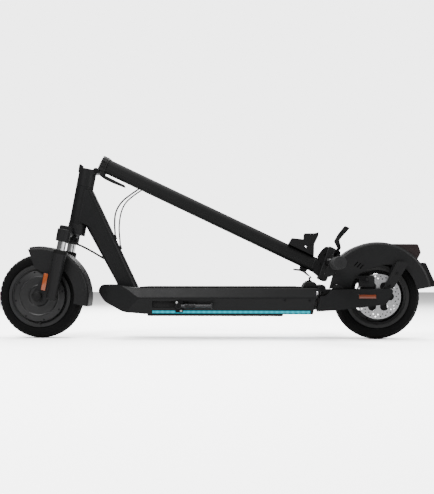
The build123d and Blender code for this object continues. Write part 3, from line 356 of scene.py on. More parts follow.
def shrinkWrap(name):
    # blue film round the cells
    paint = Paint(name, 0.4)
    folds = paint.noise(30, 6, (1, 4, 4))
    paint.set({"Base Color": paint.tint(folds, (0.03, 0.09, 0.24), (0.06, 0.15, 0.36))})
    paint.set({"Roughness": folds * 0.2 + 0.3})
    paint.bump(folds, 0.4, 0.002)
    return paint.material


def matGrip(name):
    # deck rubber with a fine raised diamond
    paint = Paint(name, 0.82)
    cells = paint.node("TexVoronoi", {"distance": "MANHATTAN"},
                       {"Vector": paint.place, "Scale": 190, "Randomness": 0.0})
    dirt = paint.clamp(paint.noise(30, 6), 0.45, 0.85)
    paint.set({"Base Color": paint.tint(dirt, (0.0045, 0.0045, 0.0047), (0.012, 0.0115, 0.011))})
    paint.set({"Roughness": dirt * 0.12 + 0.74, "Specular IOR Level": mirroring["mat"]})
    paint.bump(paint.clamp(cells, 0.2, 0.6) + paint.noise(1500, 3) * 0.3, 0.6, 0.0006)
    return paint.material


# coats: colour, roughness, depth of the grain, edge wear with painted highlight along edges
frameCoat = coated("frameCoat", (0.0046, 0.0047, 0.0050), 0.44, 0.18, 0.9)
forkCoat = coated("forkCoat", (0.0078, 0.0078, 0.0082), 0.46, 0.2, 0.9)
collarCoat = coated("collarCoat", (0.0078, 0.0078, 0.0081), 0.40, 0.16, 1.0)
stemCoat = coated("stemCoat", (0.0030, 0.0030, 0.0031), 0.56, 0.22, 0.7)
barCoat = coated("barCoat", (0.0048, 0.0048, 0.0050), 0.45, 0.2, 0.6)
leverCoat = coated("leverCoat", (0.0030, 0.0030, 0.0031), 0.38, 0.15, 0.8)
castCoat = coated("castCoat", (0.0075, 0.0075, 0.0078), 0.6, 0.5, 1.0)
blackSteel = bareMetal("blackSteel", (0.018, 0.018, 0.0185), 0.42)
darkPlastic = moulded("darkPlastic", (0.0032, 0.0032, 0.0034), 0.52, 0.22)
fenderPlastic = moulded("fenderPlastic", (0.0062, 0.0062, 0.0065), 0.48, 0.16)
capPlastic = moulded("capPlastic", (0.0036, 0.0036, 0.0036), 0.6, 0.3)
coverPlastic = moulded("coverPlastic", (0.0060, 0.0060, 0.0064), 0.62, 0.35)
keyRubber = rubbery("keyRubber", (0.0045, 0.0045, 0.0045), 0.7)
gripRubber = rubbery("gripRubber", (0.019, 0.019, 0.0195), 0.82)
sealRubber = rubbery("sealRubber", (0.0036, 0.0036, 0.0036), 0.6)
cableSkin = rubbery("cableSkin", (0.0034, 0.0034, 0.0034), 0.5)
frontTyreRubber = wheelRubber("frontTyreRubber", frontAxle)
rearTyreRubber = wheelRubber("rearTyreRubber", rearAxle)
hubFace = machinedFace("hubFace", (0.0090, 0.0090, 0.0094), 0.42, frontAxle, 0.2, 5.0)
frontRimCoat = machinedFace("frontRimCoat", (0.0050, 0.0050, 0.0053), 0.45, frontAxle, 0.1, 2.0)
rearRimCoat = machinedFace("rearRimCoat", (0.0022, 0.0022, 0.0023), 0.45, rearAxle, 0.1, 2.0)
discSteel = machinedFace("discSteel", (0.46, 0.46, 0.47), 0.30, rearAxle, 1.0, 7.0)
chromeTube = bareMetal("chromeTube", (0.78, 0.78, 0.79), 0.12, (1, 1, 0.2))
zincSteel = bareMetal("zincSteel", (0.60, 0.60, 0.60), 0.34)
legSteel = bareMetal("legSteel", (0.060, 0.060, 0.062), 0.34, (0.1, 1, 1))
statorSteel = bareMetal("statorSteel", (0.30, 0.30, 0.31), 0.5, (1, 12, 1))
cellWrap = shrinkWrap("cellWrap")
cyanLight = lightStrip("cyanLight")
amberForward = prismatic("amberForward", (0.42, 0.078, 0.008), 420)
amberRear = prismatic("amberRear", (0.20, 0.032, 0.004), 420)
redLens = prismatic("redLens", (0.012, 0.0016, 0.0016), 260, 0.22)
lampLens = clearPlastic("lampLens", (0.05, 0.052, 0.058), 0.12, 0.45)
lampMirror = bareMetal("lampMirror", (0.75, 0.75, 0.77), 0.2)
displayGlass = clearPlastic("displayGlass", (0.006, 0.007, 0.009), 0.06, 1.0)
gasketLine = moulded("gasketLine", (0.020, 0.020, 0.021), 0.35, 0.1)
deckRubber = matGrip("deckRubber")
print("materials mixed")

nodeFinish = {
    frameCoat: ["deck_shell", "head_tube", "down_tube", "swing_arm"],
    forkCoat: ["fork_crown", "fork_lowers"],
    collarCoat: ["fold_collar", "stem_flange", "latch_lever"],
    stemCoat: ["stem_tube", "stem_head"],
    barCoat: ["handlebar", "brake_perch"],
    leverCoat: ["brake_lever"],
    castCoat: ["pivot_bracket", "caliper_body", "controller"],
    blackSteel: ["fold_pin", "latch_striker", "pivot_bolt", "front_axle", "rear_axle", "caliper_arm",
                 "hook_block", "fold_hook", "catch_loop", "kickstand_bracket"],
    darkPlastic: ["cockpit_housing", "headlight_housing", "switch_pod", "throttle_housing", "throttle_paddle",
                  "port_panel", "rear_plate"],
    fenderPlastic: ["front_fender", "rear_fender"],
    capPlastic: ["rear_deck_cap"],
    coverPlastic: ["battery_cover"],
    keyRubber: ["power_button", "horn_button", "port_cap"],
    sealRubber: ["dust_seals"],
    hubFace: ["hub_covers"],
    frontRimCoat: ["hub_shell"],
    rearRimCoat: ["rear_rim"],
    discSteel: ["brake_disc"],
    chromeTube: ["stanchion_tubes"],
    legSteel: ["kickstand_leg"],
    statorSteel: ["motor_stator"],
    zincSteel: ["headset_bearings"],
    cellWrap: ["battery_pack"],
    cyanLight: ["led_strips"],
    redLens: ["tail_light"],
    lampLens: ["headlight_lens"],
    deckRubber: ["deck_mat"],
    gripRubber: ["grips"],
    cableSkin: ["stem_cables", "motor_cable"],
    frontTyreRubber: ["front_tyre"],
    rearTyreRubber: ["rear_tyre"],
}
for finish, names in nodeFinish.items():
    for name in names:
        mesh = nodes[name].data
        mesh.materials.clear()
        mesh.materials.append(finish)
print("frame painted")


# shaping tools; all sizes in millimetres

def edgesWhere(bm, test):
    return [edge for edge in bm.edges if test(edge)]


def softenEdges(bm, edges, width, steps=3):
    bmesh.ops.bevel(bm, geom=edges, offset=width, segments=steps, profile=0.5, affect="EDGES",
                    material=-1, clamp_overlap=True)


def turnTo(direction):
    return Vector((0, 0, 1)).rotation_difference(Vector(direction)).to_matrix().to_4x4()


def addBlock(bm, size, centre, width=0.0, steps=3, turn=Matrix.Identity(4)):
    part = bmesh.new()
    bmesh.ops.create_cube(part, size=1.0)
    bmesh.ops.scale(part, vec=size, verts=part.verts)
    if width:
        softenEdges(part, part.edges[:], width, steps)
    bmesh.ops.transform(part, matrix=Matrix.Translation(centre) @ turn, verts=part.verts)
    join(bm, part)


def join(bm, part):
    mesh = bpy.data.meshes.new("part")
    part.to_mesh(mesh)
    part.free()
    bm.from_mesh(mesh)
    bpy.data.meshes.remove(mesh)


def addDrum(bm, radius, height, centre, direction=(0, 1, 0), width=0.0, topRadius=None, steps=32):
    part = bmesh.new()
    top = radius if topRadius is None else topRadius
    bmesh.ops.create_cone(part, cap_ends=True, segments=steps, radius1=radius, radius2=top, depth=height)
    if width:
        rims = edgesWhere(part, lambda edge: abs(edge.verts[0].co.z - edge.verts[1].co.z) < 1e-6)
        softenEdges(part, rims, width, 2)
    bmesh.ops.transform(part, matrix=Matrix.Translation(centre) @ turnTo(direction), verts=part.verts)
    join(bm, part)


# shares of a screw's radius: its rim, the dish in its top, the wall round its socket and the socket's depth
screwHead = {"sides": 24, "rim": 0.12, "dish": 0.08, "wall": 0.34, "edge": 0.01, "socket": 0.7}


def addScrew(bm, radius, height, centre, direction):
    # a cap screw: a drum with a rim and a sunk hexagon
    part = bmesh.new()
    bmesh.ops.create_cone(part, cap_ends=True, segments=screwHead["sides"], radius1=radius, radius2=radius,
                          depth=height)
    top = max(part.faces, key=lambda face: face.calc_center_median().z)
    bmesh.ops.inset_region(part, faces=[top], thickness=radius * screwHead["rim"],
                           depth=radius * screwHead["dish"])
    bmesh.ops.inset_region(part, faces=[top], thickness=radius * screwHead["wall"], depth=0)
    for vert in top.verts:
        angle = atan2(vert.co.y, vert.co.x) % (pi / 3) - pi / 6
        vert.co.xy *= cos(pi / 6) / cos(angle)
    bmesh.ops.inset_region(part, faces=[top], thickness=radius * screwHead["edge"],
                           depth=-min(height * 0.6, radius * screwHead["socket"]))
    bmesh.ops.transform(part, matrix=Matrix.Translation(centre) @ turnTo(direction), verts=part.verts)
    join(bm, part)


def addTurned(bm, profile, centre, steps=64, axis=(0, 1, 0)):
    # profile points are (radius, along the axis); the outline is closed
    part = bmesh.new()
    ring = [part.verts.new((radius, 0, along)) for radius, along in profile]
    edges = [part.edges.new((ring[i], ring[(i + 1) % len(ring)])) for i in range(len(ring))]
    bmesh.ops.spin(part, geom=ring + edges, cent=(0, 0, 0), axis=(0, 0, 1), angle=2 * pi, steps=steps,
                   use_merge=True, use_duplicate=False)
    bmesh.ops.remove_doubles(part, verts=part.verts, dist=1e-4)
    bmesh.ops.recalc_face_normals(part, faces=part.faces)
    bmesh.ops.transform(part, matrix=Matrix.Translation(centre) @ turnTo(axis), verts=part.verts)
    join(bm, part)


wireSides = 10


def addTorus(bm, radius, thickness, centre, direction, steps=32):
    turns = [2 * pi * i / wireSides for i in range(wireSides)]
    section = [(radius + thickness * cos(turn), thickness * sin(turn)) for turn in turns]
    addTurned(bm, section, centre, steps, direction)


def addSleeve(bm, half, corner, low, high, wall, width=0.6):
    # a ring round a tube with rounded corners, standing along z
    part = bmesh.new()
    bmesh.ops.create_cube(part, size=1.0)
    bmesh.ops.scale(part, vec=(2 * half[0], 2 * half[1], high - low), verts=part.verts)
    bmesh.ops.translate(part, vec=(0, 0, (low + high) / 2), verts=part.verts)
    uprights = edgesWhere(part, lambda edge: abs(edge.verts[0].co.z - edge.verts[1].co.z) > 1)
    softenEdges(part, uprights, corner, 8)
    ends = [face for face in part.faces if abs(face.normal.z) > 0.9]
    rims = [edge for face in ends for edge in face.edges]
    softenEdges(part, rims, width, 2)
    ends = [face for face in part.faces if abs(face.normal.z) > 0.99 and len(face.verts) > 4]
    bmesh.ops.inset_individual(part, faces=ends, thickness=wall, depth=0)
    loops = [edge for face in ends for edge in face.edges]
    bmesh.ops.delete(part, geom=ends, context="FACES_ONLY")
    bmesh.ops.bridge_loops(part, edges=loops)
    bmesh.ops.recalc_face_normals(part, faces=part.faces)
    join(bm, part)


def finishPiece(bm, name, body, finish, place=worldPlace, stands=(), smooth=35):
    bmesh.ops.transform(bm, matrix=place, verts=bm.verts)
    mesh = bpy.data.meshes.new(name)
    bm.to_mesh(mesh)
    bm.free()
    mesh.materials.append(finish)
    mesh.shade_smooth()
    mesh.set_sharp_from_angle(angle=radians(smooth))
    piece = bpy.data.objects.new(name, mesh)
    bpy.context.scene.collection.objects.link(piece)
    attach(piece, body)
    if stands:
        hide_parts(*stands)


# tyres

tyre = {"steps": 192, "cutEvery": 4, "cutDepth": 1.9, "shoulder": 8.5, "crown": 115.0}
# from the bead over the side wall to the middle of the tread: (radius, out from the middle)
tyreHalf = [
    (89.0, 23.6), (93.5, 24.6), (95.0, 28.4), (98.6, 30.2), (99.4, 30.9), (100.4, 30.9), (101.2, 30.2),
    (104.0, 30.9), (108.0, 30.95), (111.5, 30.2), (112.3, 30.6), (113.6, 30.0), (114.2, 28.8), (117.0, 26.4),
    (119.6, 22.8), (121.8, 18.2), (123.4, 13.2), (124.4, 8.6), (124.8, 3.4), (122.9, 2.6),
]
tyreInside = [(92.0, -18.0), (92.0, 18.0)]


def makeTyre(name, node, body, centre, finish):
    outline = tyreHalf + [(radius, -along) for radius, along in reversed(tyreHalf)] + tyreInside
    bm = bmesh.new()
    addTurned(bm, outline, (0, 0, 0), tyre["steps"])
    turn = 2 * pi / tyre["steps"]
    for vert in bm.verts:
        # blocks: every fourth row of the tread is pressed in, staggered from side to side
        reach = (vert.co.x ** 2 + vert.co.z ** 2) ** 0.5
        row = round(atan2(vert.co.z, vert.co.x) / turn)
        stagger = tyre["cutEvery"] // 2 if vert.co.y > 0 else 0
        onBlocks = reach > tyre["crown"] and abs(vert.co.y) > tyre["shoulder"]
        if onBlocks and (row + stagger) % tyre["cutEvery"] == 0:
            shrink = (reach - tyre["cutDepth"]) / reach
            vert.co.x *= shrink
            vert.co.z *= shrink
    bmesh.ops.translate(bm, vec=centre, verts=bm.verts)
    finishPiece(bm, name, body, finish, stands=[node], smooth=28)


makeTyre("frontTyreTread", "front_tyre", "front_wheel", frontAxle, frontTyreRubber)
makeTyre("rearTyreTread", "rear_tyre", "rear_wheel", rearAxle, rearTyreRubber)
print("tyres made")


# wheel details

valve = {"foot": 4.6, "shoulder": 3.4, "stem": 2.6, "thread": 2.9, "threads": 3}
frontWheelTrim = {"valveSpot": (2, -29, -79.5), "valveWay": (0, -1, 0.12), "valveLength": 8.0,
                  "capRadius": 15.0, "capFace": 72.5, "capFoot": 58.2}
rearWheelTrim = {"valveAngle": 248, "valveReach": 84, "valveLean": -0.25, "valveLength": 24.0}
discBolts = {"count": 6, "reach": 14.0, "start": 0.3, "out": 49.9, "radius": 3.2, "height": 2.0}
coverScrews = {"count": 8, "reach": 71, "start": 0.2, "out": 34.0, "radius": 2.6, "height": 1.6}


def makeValve(name, body, centre, direction, length):
    # a rubber foot, a stem and a few turns of thread
    bm = bmesh.new()
    way = Vector(direction).normalized()
    foot = Vector(centre) + way * length * 0.2
    addDrum(bm, valve["foot"], length * 0.45, foot, way, 0.8, valve["shoulder"], 20)
    addDrum(bm, valve["stem"], length * 0.7, Vector(centre) + way * length * 0.6, way, 0.3, None, 20)
    for i in range(valve["threads"]):
        addTorus(bm, valve["thread"], 0.35, Vector(centre) + way * length * (0.72 + 0.09 * i), way, 16)
    finishPiece(bm, name, body, capPlastic)


def makeValves():
    makeValve("frontValve", "front_wheel", frontAxle + Vector(frontWheelTrim["valveSpot"]),
              frontWheelTrim["valveWay"], frontWheelTrim["valveLength"])
    turn = radians(rearWheelTrim["valveAngle"])
    out = Vector((cos(turn), 0, sin(turn)))
    makeValve("rearValve", "rear_wheel", rearAxle + out * rearWheelTrim["valveReach"],
              -out + Vector((0, rearWheelTrim["valveLean"], 0)), rearWheelTrim["valveLength"])


def makeAxleCaps():
    # domed caps over the front axle's nuts
    bm = bmesh.new()
    radius = frontWheelTrim["capRadius"]
    face = frontWheelTrim["capFace"]
    foot = frontWheelTrim["capFoot"]
    dome = [(0.01, face), (radius * 0.45, face - 0.3), (radius * 0.8, face - 1.6), (radius - 0.6, face - 4)]
    skirt = [(radius, face - 7), (radius, foot + 2), (radius + 1.4, foot + 1.4), (radius + 1.4, foot)]
    inside = [(radius - 2.2, foot), (radius - 2.2, face - 6), (0.01, face - 2.2)]
    profile = dome + skirt + inside
    addTurned(bm, profile, frontAxle, 48)
    addTurned(bm, profile, frontAxle, 48, (0, -1, 0))
    for side in (-1, 1):
        addTorus(bm, radius * 0.62, 0.5, frontAxle + Vector((0, side * (face - 0.8), 0)), (0, 1, 0), 48)
    finishPiece(bm, "axleCaps", "front_suspension", capPlastic)


def addScrewRing(bm, ring, axle, side):
    for i in range(ring["count"]):
        turn = 2 * pi * i / ring["count"] + ring["start"]
        place = axle + Vector((ring["reach"] * cos(turn), side * ring["out"], ring["reach"] * sin(turn)))
        addScrew(bm, ring["radius"], ring["height"], place, (0, side, 0))


def makeDiscBolts():
    bm = bmesh.new()
    addScrewRing(bm, discBolts, rearAxle, -1)
    finishPiece(bm, "discBolts", "rear_wheel", blackSteel)


def makeCoverScrews():
    # small screws round the motor covers
    bm = bmesh.new()
    for side in (-1, 1):
        addScrewRing(bm, coverScrews, frontAxle, side)
    finishPiece(bm, "coverScrews", "front_wheel", blackSteel)


makeValves()
makeAxleCaps()
makeDiscBolts()
makeCoverScrews()
print("wheel details made")


# reflectors

# centre is in the fork's or the scooter's own frame, size is (length, height)
forkReflector = {"centre": (-51.0, 59.2, -187.0), "tilt": 90, "size": (50, 12.5)}
armReflector = {"centre": (439.5, 84.0, 125.4), "tilt": 0, "size": (48, 11.0)}
reflector = {"plate": 1.8, "rim": 2.4, "rimWidth": 1.4}


def makeReflector(name, body, shape, place, finish):
    # a raised frame with a faceted plate in it, one on each side
    plate = bmesh.new()
    rim = bmesh.new()
    length, high = shape["size"]
    wide = reflector["rimWidth"]
    tilt = Matrix.Rotation(radians(shape["tilt"]), 4, "Y")
    for side in (-1, 1):
        x, y, z = shape["centre"]
        at = Vector((x, side * y, z))
        addBlock(plate, (length, reflector["plate"], high), at, 0.5, 2, tilt)
        for along in (-1, 1):
            end = at + tilt @ Vector((along * (length + wide) / 2, 0, 0))
            addBlock(rim, (wide, reflector["rim"], high + 2 * wide), end, 0.4, 2, tilt)
            edge = at + tilt @ Vector((0, 0, along * (high + wide) / 2))
            addBlock(rim, (length, reflector["rim"], wide), edge, 0.4, 2, tilt)
    finishPiece(plate, name, body, finish, place)
    finishPiece(rim, name + "Rim", body, capPlastic, place)


makeReflector("forkReflector", "front_suspension", forkReflector, steerPlace, amberForward)
makeReflector("armReflector", "rear_arm", armReflector, worldPlace, amberRear)
print("reflectors made")


# screws and plugs

def makeScrews(name, body, radius, spots, way, place=worldPlace, height=2.4, finish=blackSteel):
    bm = bmesh.new()
    for spot in spots:
        addScrew(bm, radius, height, Vector(spot), way)
    finishPiece(bm, name, body, finish, place)


def mirrored(spots):
    return [(x, -y, z) for x, y, z in spots]


def bothSides(spot):
    return [spot] + mirrored([spot])


def coverSpots(columns=6, fromEnd=12, fromSide=9, sunk=0.6):
    # two rows under the battery cover
    low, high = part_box("battery_cover")
    low, high = low / millimetre, high / millimetre
    pitch = (high.x - low.x - 2 * fromEnd) / (columns - 1)
    return [(low.x + fromEnd + pitch * i, side * (high.y - fromSide), low.z + sunk)
            for i in range(columns) for side in (-1, 1)]


left, right, up, down, forward = (0, -1, 0), (0, 1, 0), (0, 0, 1), (0, 0, -1), (-1, 0, 0)
deckPlugs = [(205, -87.2, 114.6), (275, -87.2, 114.1)]
bracketScrews = [(-103.2, -90.6, 108.0), (-91.0, -90.6, 84.5)]
strutScrews = [(505, -64.8, 156), (525, -64.8, 192)]
headScrews = [(-40, -20.6, stemTop + 9), (-8, -20.6, stemTop + 9)]
makeScrews("deckPlugsLeft", "frame", 3.4, deckPlugs, left)
makeScrews("deckPlugsRight", "frame", 3.4, mirrored(deckPlugs), right)
makeScrews("bracketScrews", "frame", 3.4, bracketScrews, left, finish=zincSteel)
makeScrews("coverScrewRow", "frame", 3.2, coverSpots(), down, height=1.4)
makeScrews("crownScrews", "steering", 4.6, bothSides((-21, -64, -24.6)), up, steerPlace)
makeScrews("crownPinch", "steering", 3.4, bothSides((-38.6, -52, -32)), forward, steerPlace)
makeScrews("headPinch", "stem", 3.2, headScrews, left, stemPlace)
makeScrews("headPinchRight", "stem", 3.2, mirrored(headScrews), right, stemPlace)
makeScrews("flangeScrews", "stem", 3.0, [(-8, -24.6, 12.5), (8, -24.6, 12.5)], left, stemPlace)
makeScrews("capScrews", "frame", 3.0, bothSides((272, -46, 168.2)), up)
makeScrews("fenderFootScrews", "rear_arm", 3.0, bothSides((353, -62, 158.6)), up, finish=zincSteel)
makeScrews("strutScrewsLeft", "rear_arm", 3.4, strutScrews, left)
makeScrews("strutScrewsRight", "rear_arm", 3.4, mirrored(strutScrews), right)
print("screws made")


# stem trim, display and lamp

stemRing = {"top": 3.0, "foot": 2.2, "grow": 0.7, "corner": 15.4, "wall": 1.6, "fromTop": 6, "footHigh": 25.5}
display = {"half": (30.0, 29.0), "centreX": -31.0, "rise": 26, "tilt": 6.8, "glass": 1.1, "border": 3.0,
           "corner": 6.0, "thin": 1.0}
gasket = {"centreX": -17.0, "size": (98, 1.0, 1.6), "out": 35.6, "rise": 0.6}
housing = {"barBelowTop": 28, "sill": 13}
lamp = {"centreX": -70.5, "rise": 2, "diode": 2.2}
lampSide = {"rib": (20, 1.2, 2.0), "ribSpot": (-52, 27.2, 12), "tilt": -14, "screwSpot": (-30, 27.4, 20)}


def makeStemRings():
    bm = bmesh.new()
    grow = stemRing["grow"]
    half = (stem["half"][0] + grow, stem["half"][1] + grow)
    end = stemTop - stemRing["fromTop"]
    foot = stemRing["footHigh"]
    addSleeve(bm, half, stemRing["corner"], end - stemRing["top"], end, stemRing["wall"])
    addSleeve(bm, half, stemRing["corner"], foot, foot + stemRing["foot"], stemRing["wall"])
    finishPiece(bm, "stemRings", "stem", collarCoat, stemPlace)


def housingHigh(x):
    # the sloping joint line of the display housing
    slope = radians(display["tilt"])
    return stemTop + housing["barBelowTop"] - housing["sill"] + (x - barAxis.x) * slope


def displayFrame():
    # on the sloping top of the housing, x towards the rider
    x = display["centreX"]
    tilt = Matrix.Rotation(-radians(display["tilt"]), 4, "Y")
    return Matrix.Translation((x, 0, housingHigh(x) + display["rise"])) @ tilt


def makeDisplay():
    border = bmesh.new()
    x, y = display["half"]
    addSleeve(border, (x, y), display["corner"], -0.4, display["glass"], display["border"], 0.5)
    bmesh.ops.transform(border, matrix=displayFrame(), verts=border.verts)
    finishPiece(border, "displayBorder", "stem", darkPlastic, stemPlace)
    face = bmesh.new()
    addBlock(face, (2 * x - 5, 2 * y - 5, display["thin"]), (0, 0, 0.2), 0.3, 2)
    bmesh.ops.transform(face, matrix=displayFrame(), verts=face.verts)
    finishPiece(face, "displayGlass", "stem", displayGlass, stemPlace)


def makeGasket():
    # pale line between the display housing and the stem's head
    bm = bmesh.new()
    tilt = Matrix.Rotation(-radians(display["tilt"]), 4, "Y")
    x = gasket["centreX"]
    for side in (-1, 1):
        addBlock(bm, gasket["size"], (x, side * gasket["out"], housingHigh(x) + gasket["rise"]), 0.4, 2, tilt)
    finishPiece(bm, "displayGasket", "stem", gasketLine, stemPlace)


def makeLampInside():
    # a bright bowl and the diode's dome behind the lens
    bm = bmesh.new()
    centre = Vector((lamp["centreX"], 0, lampHigh + lamp["rise"]))
    bowl = [(7.2, 3.2), (6.2, 0.6), (4.0, -1.6), (1.9, -2.4), (0.01, -2.6), (0.01, -3.4), (2.0, -3.2),
            (4.5, -2.4), (6.8, -0.2), (7.9, 3.2)]
    addTurned(bm, bowl, centre, 32, forward)
    addDrum(bm, lamp["diode"], 1.6, centre + Vector((1.4, 0, 0)), forward, 0.6, None, 20)
    finishPiece(bm, "lampBowl", "stem", lampMirror, stemPlace)


def makeLampTrim():
    # a rib and a screw on each side of the headlight
    bm = bmesh.new()
    tilt = Matrix.Rotation(radians(lampSide["tilt"]), 4, "Y")
    for side in (-1, 1):
        x, y, z = lampSide["ribSpot"]
        addBlock(bm, lampSide["rib"], (x, side * y, lampHigh + z), 0.4, 2, tilt)
        x, y, z = lampSide["screwSpot"]
        addScrew(bm, 3.0, 1.8, Vector((x, side * y, lampHigh + z)), (0, side, 0))
    finishPiece(bm, "lampTrim", "stem", capPlastic, stemPlace)


makeStemRings()
makeDisplay()
makeGasket()
makeLampInside()
makeLampTrim()
print("stem trim made")


# grips, bar and brake

grip = {"inner": 153.0, "outer": 275.0, "radius": 16.6, "bore": 11.2, "ribs": 17, "rib": 0.8,
        "lowRibs": (5, 11)}
# the brake perch's small parts, from the bar's middle; y is along the bar
perchScrews = [
    {"spot": (-6, -144, -15.4), "radius": 2.6, "height": 2.0, "way": down},
    {"spot": (-27, -141, -2.4), "radius": 3.0, "height": 1.6, "way": up},
    {"spot": (16, -143.5, -15.6), "radius": 2.4, "height": 1.8, "way": down},
]
adjuster = {"spot": (-20, -112, -12), "radius": 5.4, "bore": 3.0, "half": 4, "ribs": 8,
            "rib": (1.0, 7.4, 1.0)}


def makeGrips():
    # ribbed rubber with a flange at the inner end and a rounded outer end
    bm = bmesh.new()
    low, high = grip["inner"] + 2, grip["outer"]
    radius, bore = grip["radius"], grip["bore"]
    profile = [(bore, low), (18.2, low), (18.5, low + 0.8), (18.5, low + 4.2), (17.9, low + 5),
               (16.4, low + 5.6)]
    start = low + 8
    pitch = (high - 10 - start) / grip["ribs"]
    for i in range(grip["ribs"]):
        foot = start + pitch * i
        crest = radius + grip["rib"] * (0.4 if i in grip["lowRibs"] else 1.0)
        profile += [(radius - 0.6, foot), (crest - 0.3, foot + pitch * 0.22), (crest, foot + pitch * 0.4),
                    (crest, foot + pitch * 0.62), (crest - 0.3, foot + pitch * 0.8)]
    profile += [(16.2, high - 9.4), (17.0, high - 7.5), (17.0, high - 3), (16.2, high - 0.9), (14.4, high),
                (5.0, high), (4.4, high - 0.8), (0.01, high - 0.8), (0.01, high - 3), (bore, high - 3)]
    centre = Vector((barAxis.x, 0, barAxis.z))
    addTurned(bm, profile, centre, 56, right)
    addTurned(bm, profile, centre, 56, left)
    finishPiece(bm, "ribbedGrips", "stem", gripRubber, stemPlace, stands=["grips"])


def makePerchTrim():
    # screws of the clamp and the lever, and the cable's ribbed adjuster
    bm = bmesh.new()
    middle = Vector((barAxis.x, 0, barAxis.z))
    for screw in perchScrews:
        addScrew(bm, screw["radius"], screw["height"], middle + Vector(screw["spot"]), screw["way"])
    centre = middle + Vector(adjuster["spot"])
    radius, bore, half = adjuster["radius"], adjuster["bore"], adjuster["half"]
    addTurned(bm, [(radius, -half), (radius, half), (bore, half), (bore, -half)], centre, 24)
    for i in range(adjuster["ribs"]):
        turn = 2 * pi * i / adjuster["ribs"]
        addBlock(bm, adjuster["rib"], centre + Vector((radius * cos(turn), 0, radius * sin(turn))), 0.3, 1)
    finishPiece(bm, "perchTrim", "stem", blackSteel, stemPlace)


makeGrips()
makePerchTrim()
print("grips made")


# deck

mat = {"grooves": 12, "margin": 9.0, "fromEnds": 26, "outerShorter": 10, "rib": 1.6, "stands": 0.1}
standCoil = {"turns": 9, "radius": 6.9, "wire": 0.9, "start": 20.6, "pitch": 3.1}
pads = {"size": (22, 2.4, 15), "spot": (1, -8), "faces": (-50.6, -45.4)}


def makeMatRibs():
    bm = bmesh.new()
    low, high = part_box("deck_mat")
    low, high = low / millimetre, high / millimetre
    pitch = (high.y - low.y - 2 * mat["margin"]) / mat["grooves"]
    length = high.x - low.x - mat["fromEnds"]
    for i in range(mat["grooves"] + 1):
        y = low.y + mat["margin"] + pitch * i
        shorter = mat["outerShorter"] if i in (0, mat["grooves"]) else 0
        centre = ((low.x + high.x) / 2, y, high.z + mat["stands"])
        addBlock(bm, (length - shorter, pitch * 0.5, mat["rib"]), centre, 0.7, 2)
    finishPiece(bm, "matRibs", "frame", deckRubber)


def makeStandSpring():
    # the return spring's coils on the kickstand's sleeve
    bm = bmesh.new()
    pivot = Vector(joints["kickstand_turn"]["pos_m"]) / millimetre
    for i in range(standCoil["turns"]):
        along = standCoil["start"] + standCoil["pitch"] * i
        addTorus(bm, standCoil["radius"], standCoil["wire"], pivot + Vector((along, 0, 0)), (1, 0, 0.12), 28)
    finishPiece(bm, "standSpring", "kickstand", blackSteel)


def makePads():
    # the brake's two pads, either side of the disc
    bm = bmesh.new()
    pivot = Vector(joints["caliper_pull"]["pos_m"]) / millimetre
    for face in pads["faces"]:
        addBlock(bm, pads["size"], (pivot.x + pads["spot"][0], face, pivot.z + pads["spot"][1]), 0.6, 2)
    finishPiece(bm, "brakePads", "rear_arm", castCoat)


makeMatRibs()
makeStandSpring()
makePads()
print("deck details made")


# cables

lean = atan2(joints["steer"]["axis"][0], joints["steer"]["axis"][2])
seat = Vector(joints["steer"]["pos_m"]) / millimetre


# the down tube's rear face: its upper end from the steering's seat, its foot from the axle and the floor
downTube = {"headOut": 26, "headUp": 104, "footX": 290, "footZ": 150.0}


def tubeRearFace(high, out):
    # how far back the down tube's rear face is at that height, and so much further out
    headX = seat.x + downTube["headOut"] * cos(lean) + downTube["headUp"] * sin(lean)
    headZ = seat.z - downTube["headOut"] * sin(lean) + downTube["headUp"] * cos(lean)
    footX = frontAxle.x + downTube["footX"]
    return headX + (headZ - high) * (footX - headX) / (headZ - downTube["footZ"]) + out


def stemSpot(x, z, y):
    return (stemPlace @ Vector((x, y, z))) / millimetre


def tubeSpot(high, out, y):
    # high is above the front axle
    return Vector((tubeRearFace(frontAxle.z + high, out), y, frontAxle.z + high))


outerLoop = [
    stemSpot(5, 147, -5), stemSpot(21, 136, -5), stemSpot(47, 121, -5), stemSpot(76, 106, -5),
    tubeSpot(250, 38, -5), tubeSpot(214, 18, -4), tubeSpot(176, 3, -4), tubeSpot(140, -14, -4),
]
innerLoop = [
    stemSpot(5, 154, 5), stemSpot(21, 143, 5), stemSpot(46, 128, 5), stemSpot(76, 115, 5),
    tubeSpot(246, 50, 4), tubeSpot(200, 23, 4), tubeSpot(150, 5, 4), tubeSpot(114, -14, 4),
]
motorRoute = [
    Vector((seat.x - 30, -46, seat.z - 58)), Vector((seat.x - 10, -44, seat.z - 58.5)),
    Vector((seat.x + 12, -36, seat.z - 65)), Vector((seat.x + 38, -22, seat.z - 79)),
    Vector((seat.x + 62, -9, seat.z - 94)), Vector((seat.x + 88, -2, seat.z - 110)),
    Vector((seat.x + 104, 0, seat.z - 118)),
]


outerRadius, innerRadius, motorRadius = 2.5, 2.2, 3.0


def cableMesh(name, points, radius):
    curve = bpy.data.curves.new(name, "CURVE")
    curve.dimensions = "3D"
    curve.bevel_depth = radius * millimetre
    curve.bevel_resolution = 4
    curve.resolution_u = 12
    curve.use_fill_caps = True
    spline = curve.splines.new("NURBS")
    spline.points.add(len(points) - 1)
    for knot, point in zip(spline.points, points):
        knot.co = (*(Vector(point) * millimetre), 1)
    spline.order_u = 3
    spline.use_endpoint_u = True
    drawn = bpy.data.objects.new(name, curve)
    bpy.context.scene.collection.objects.link(drawn)
    bpy.context.view_layer.update()
    mesh = bpy.data.meshes.new_from_object(drawn.evaluated_get(bpy.context.evaluated_depsgraph_get()))
    bpy.data.objects.remove(drawn)
    mesh.materials.clear()
    mesh.materials.append(cableSkin)
    mesh.shade_smooth()
    return mesh


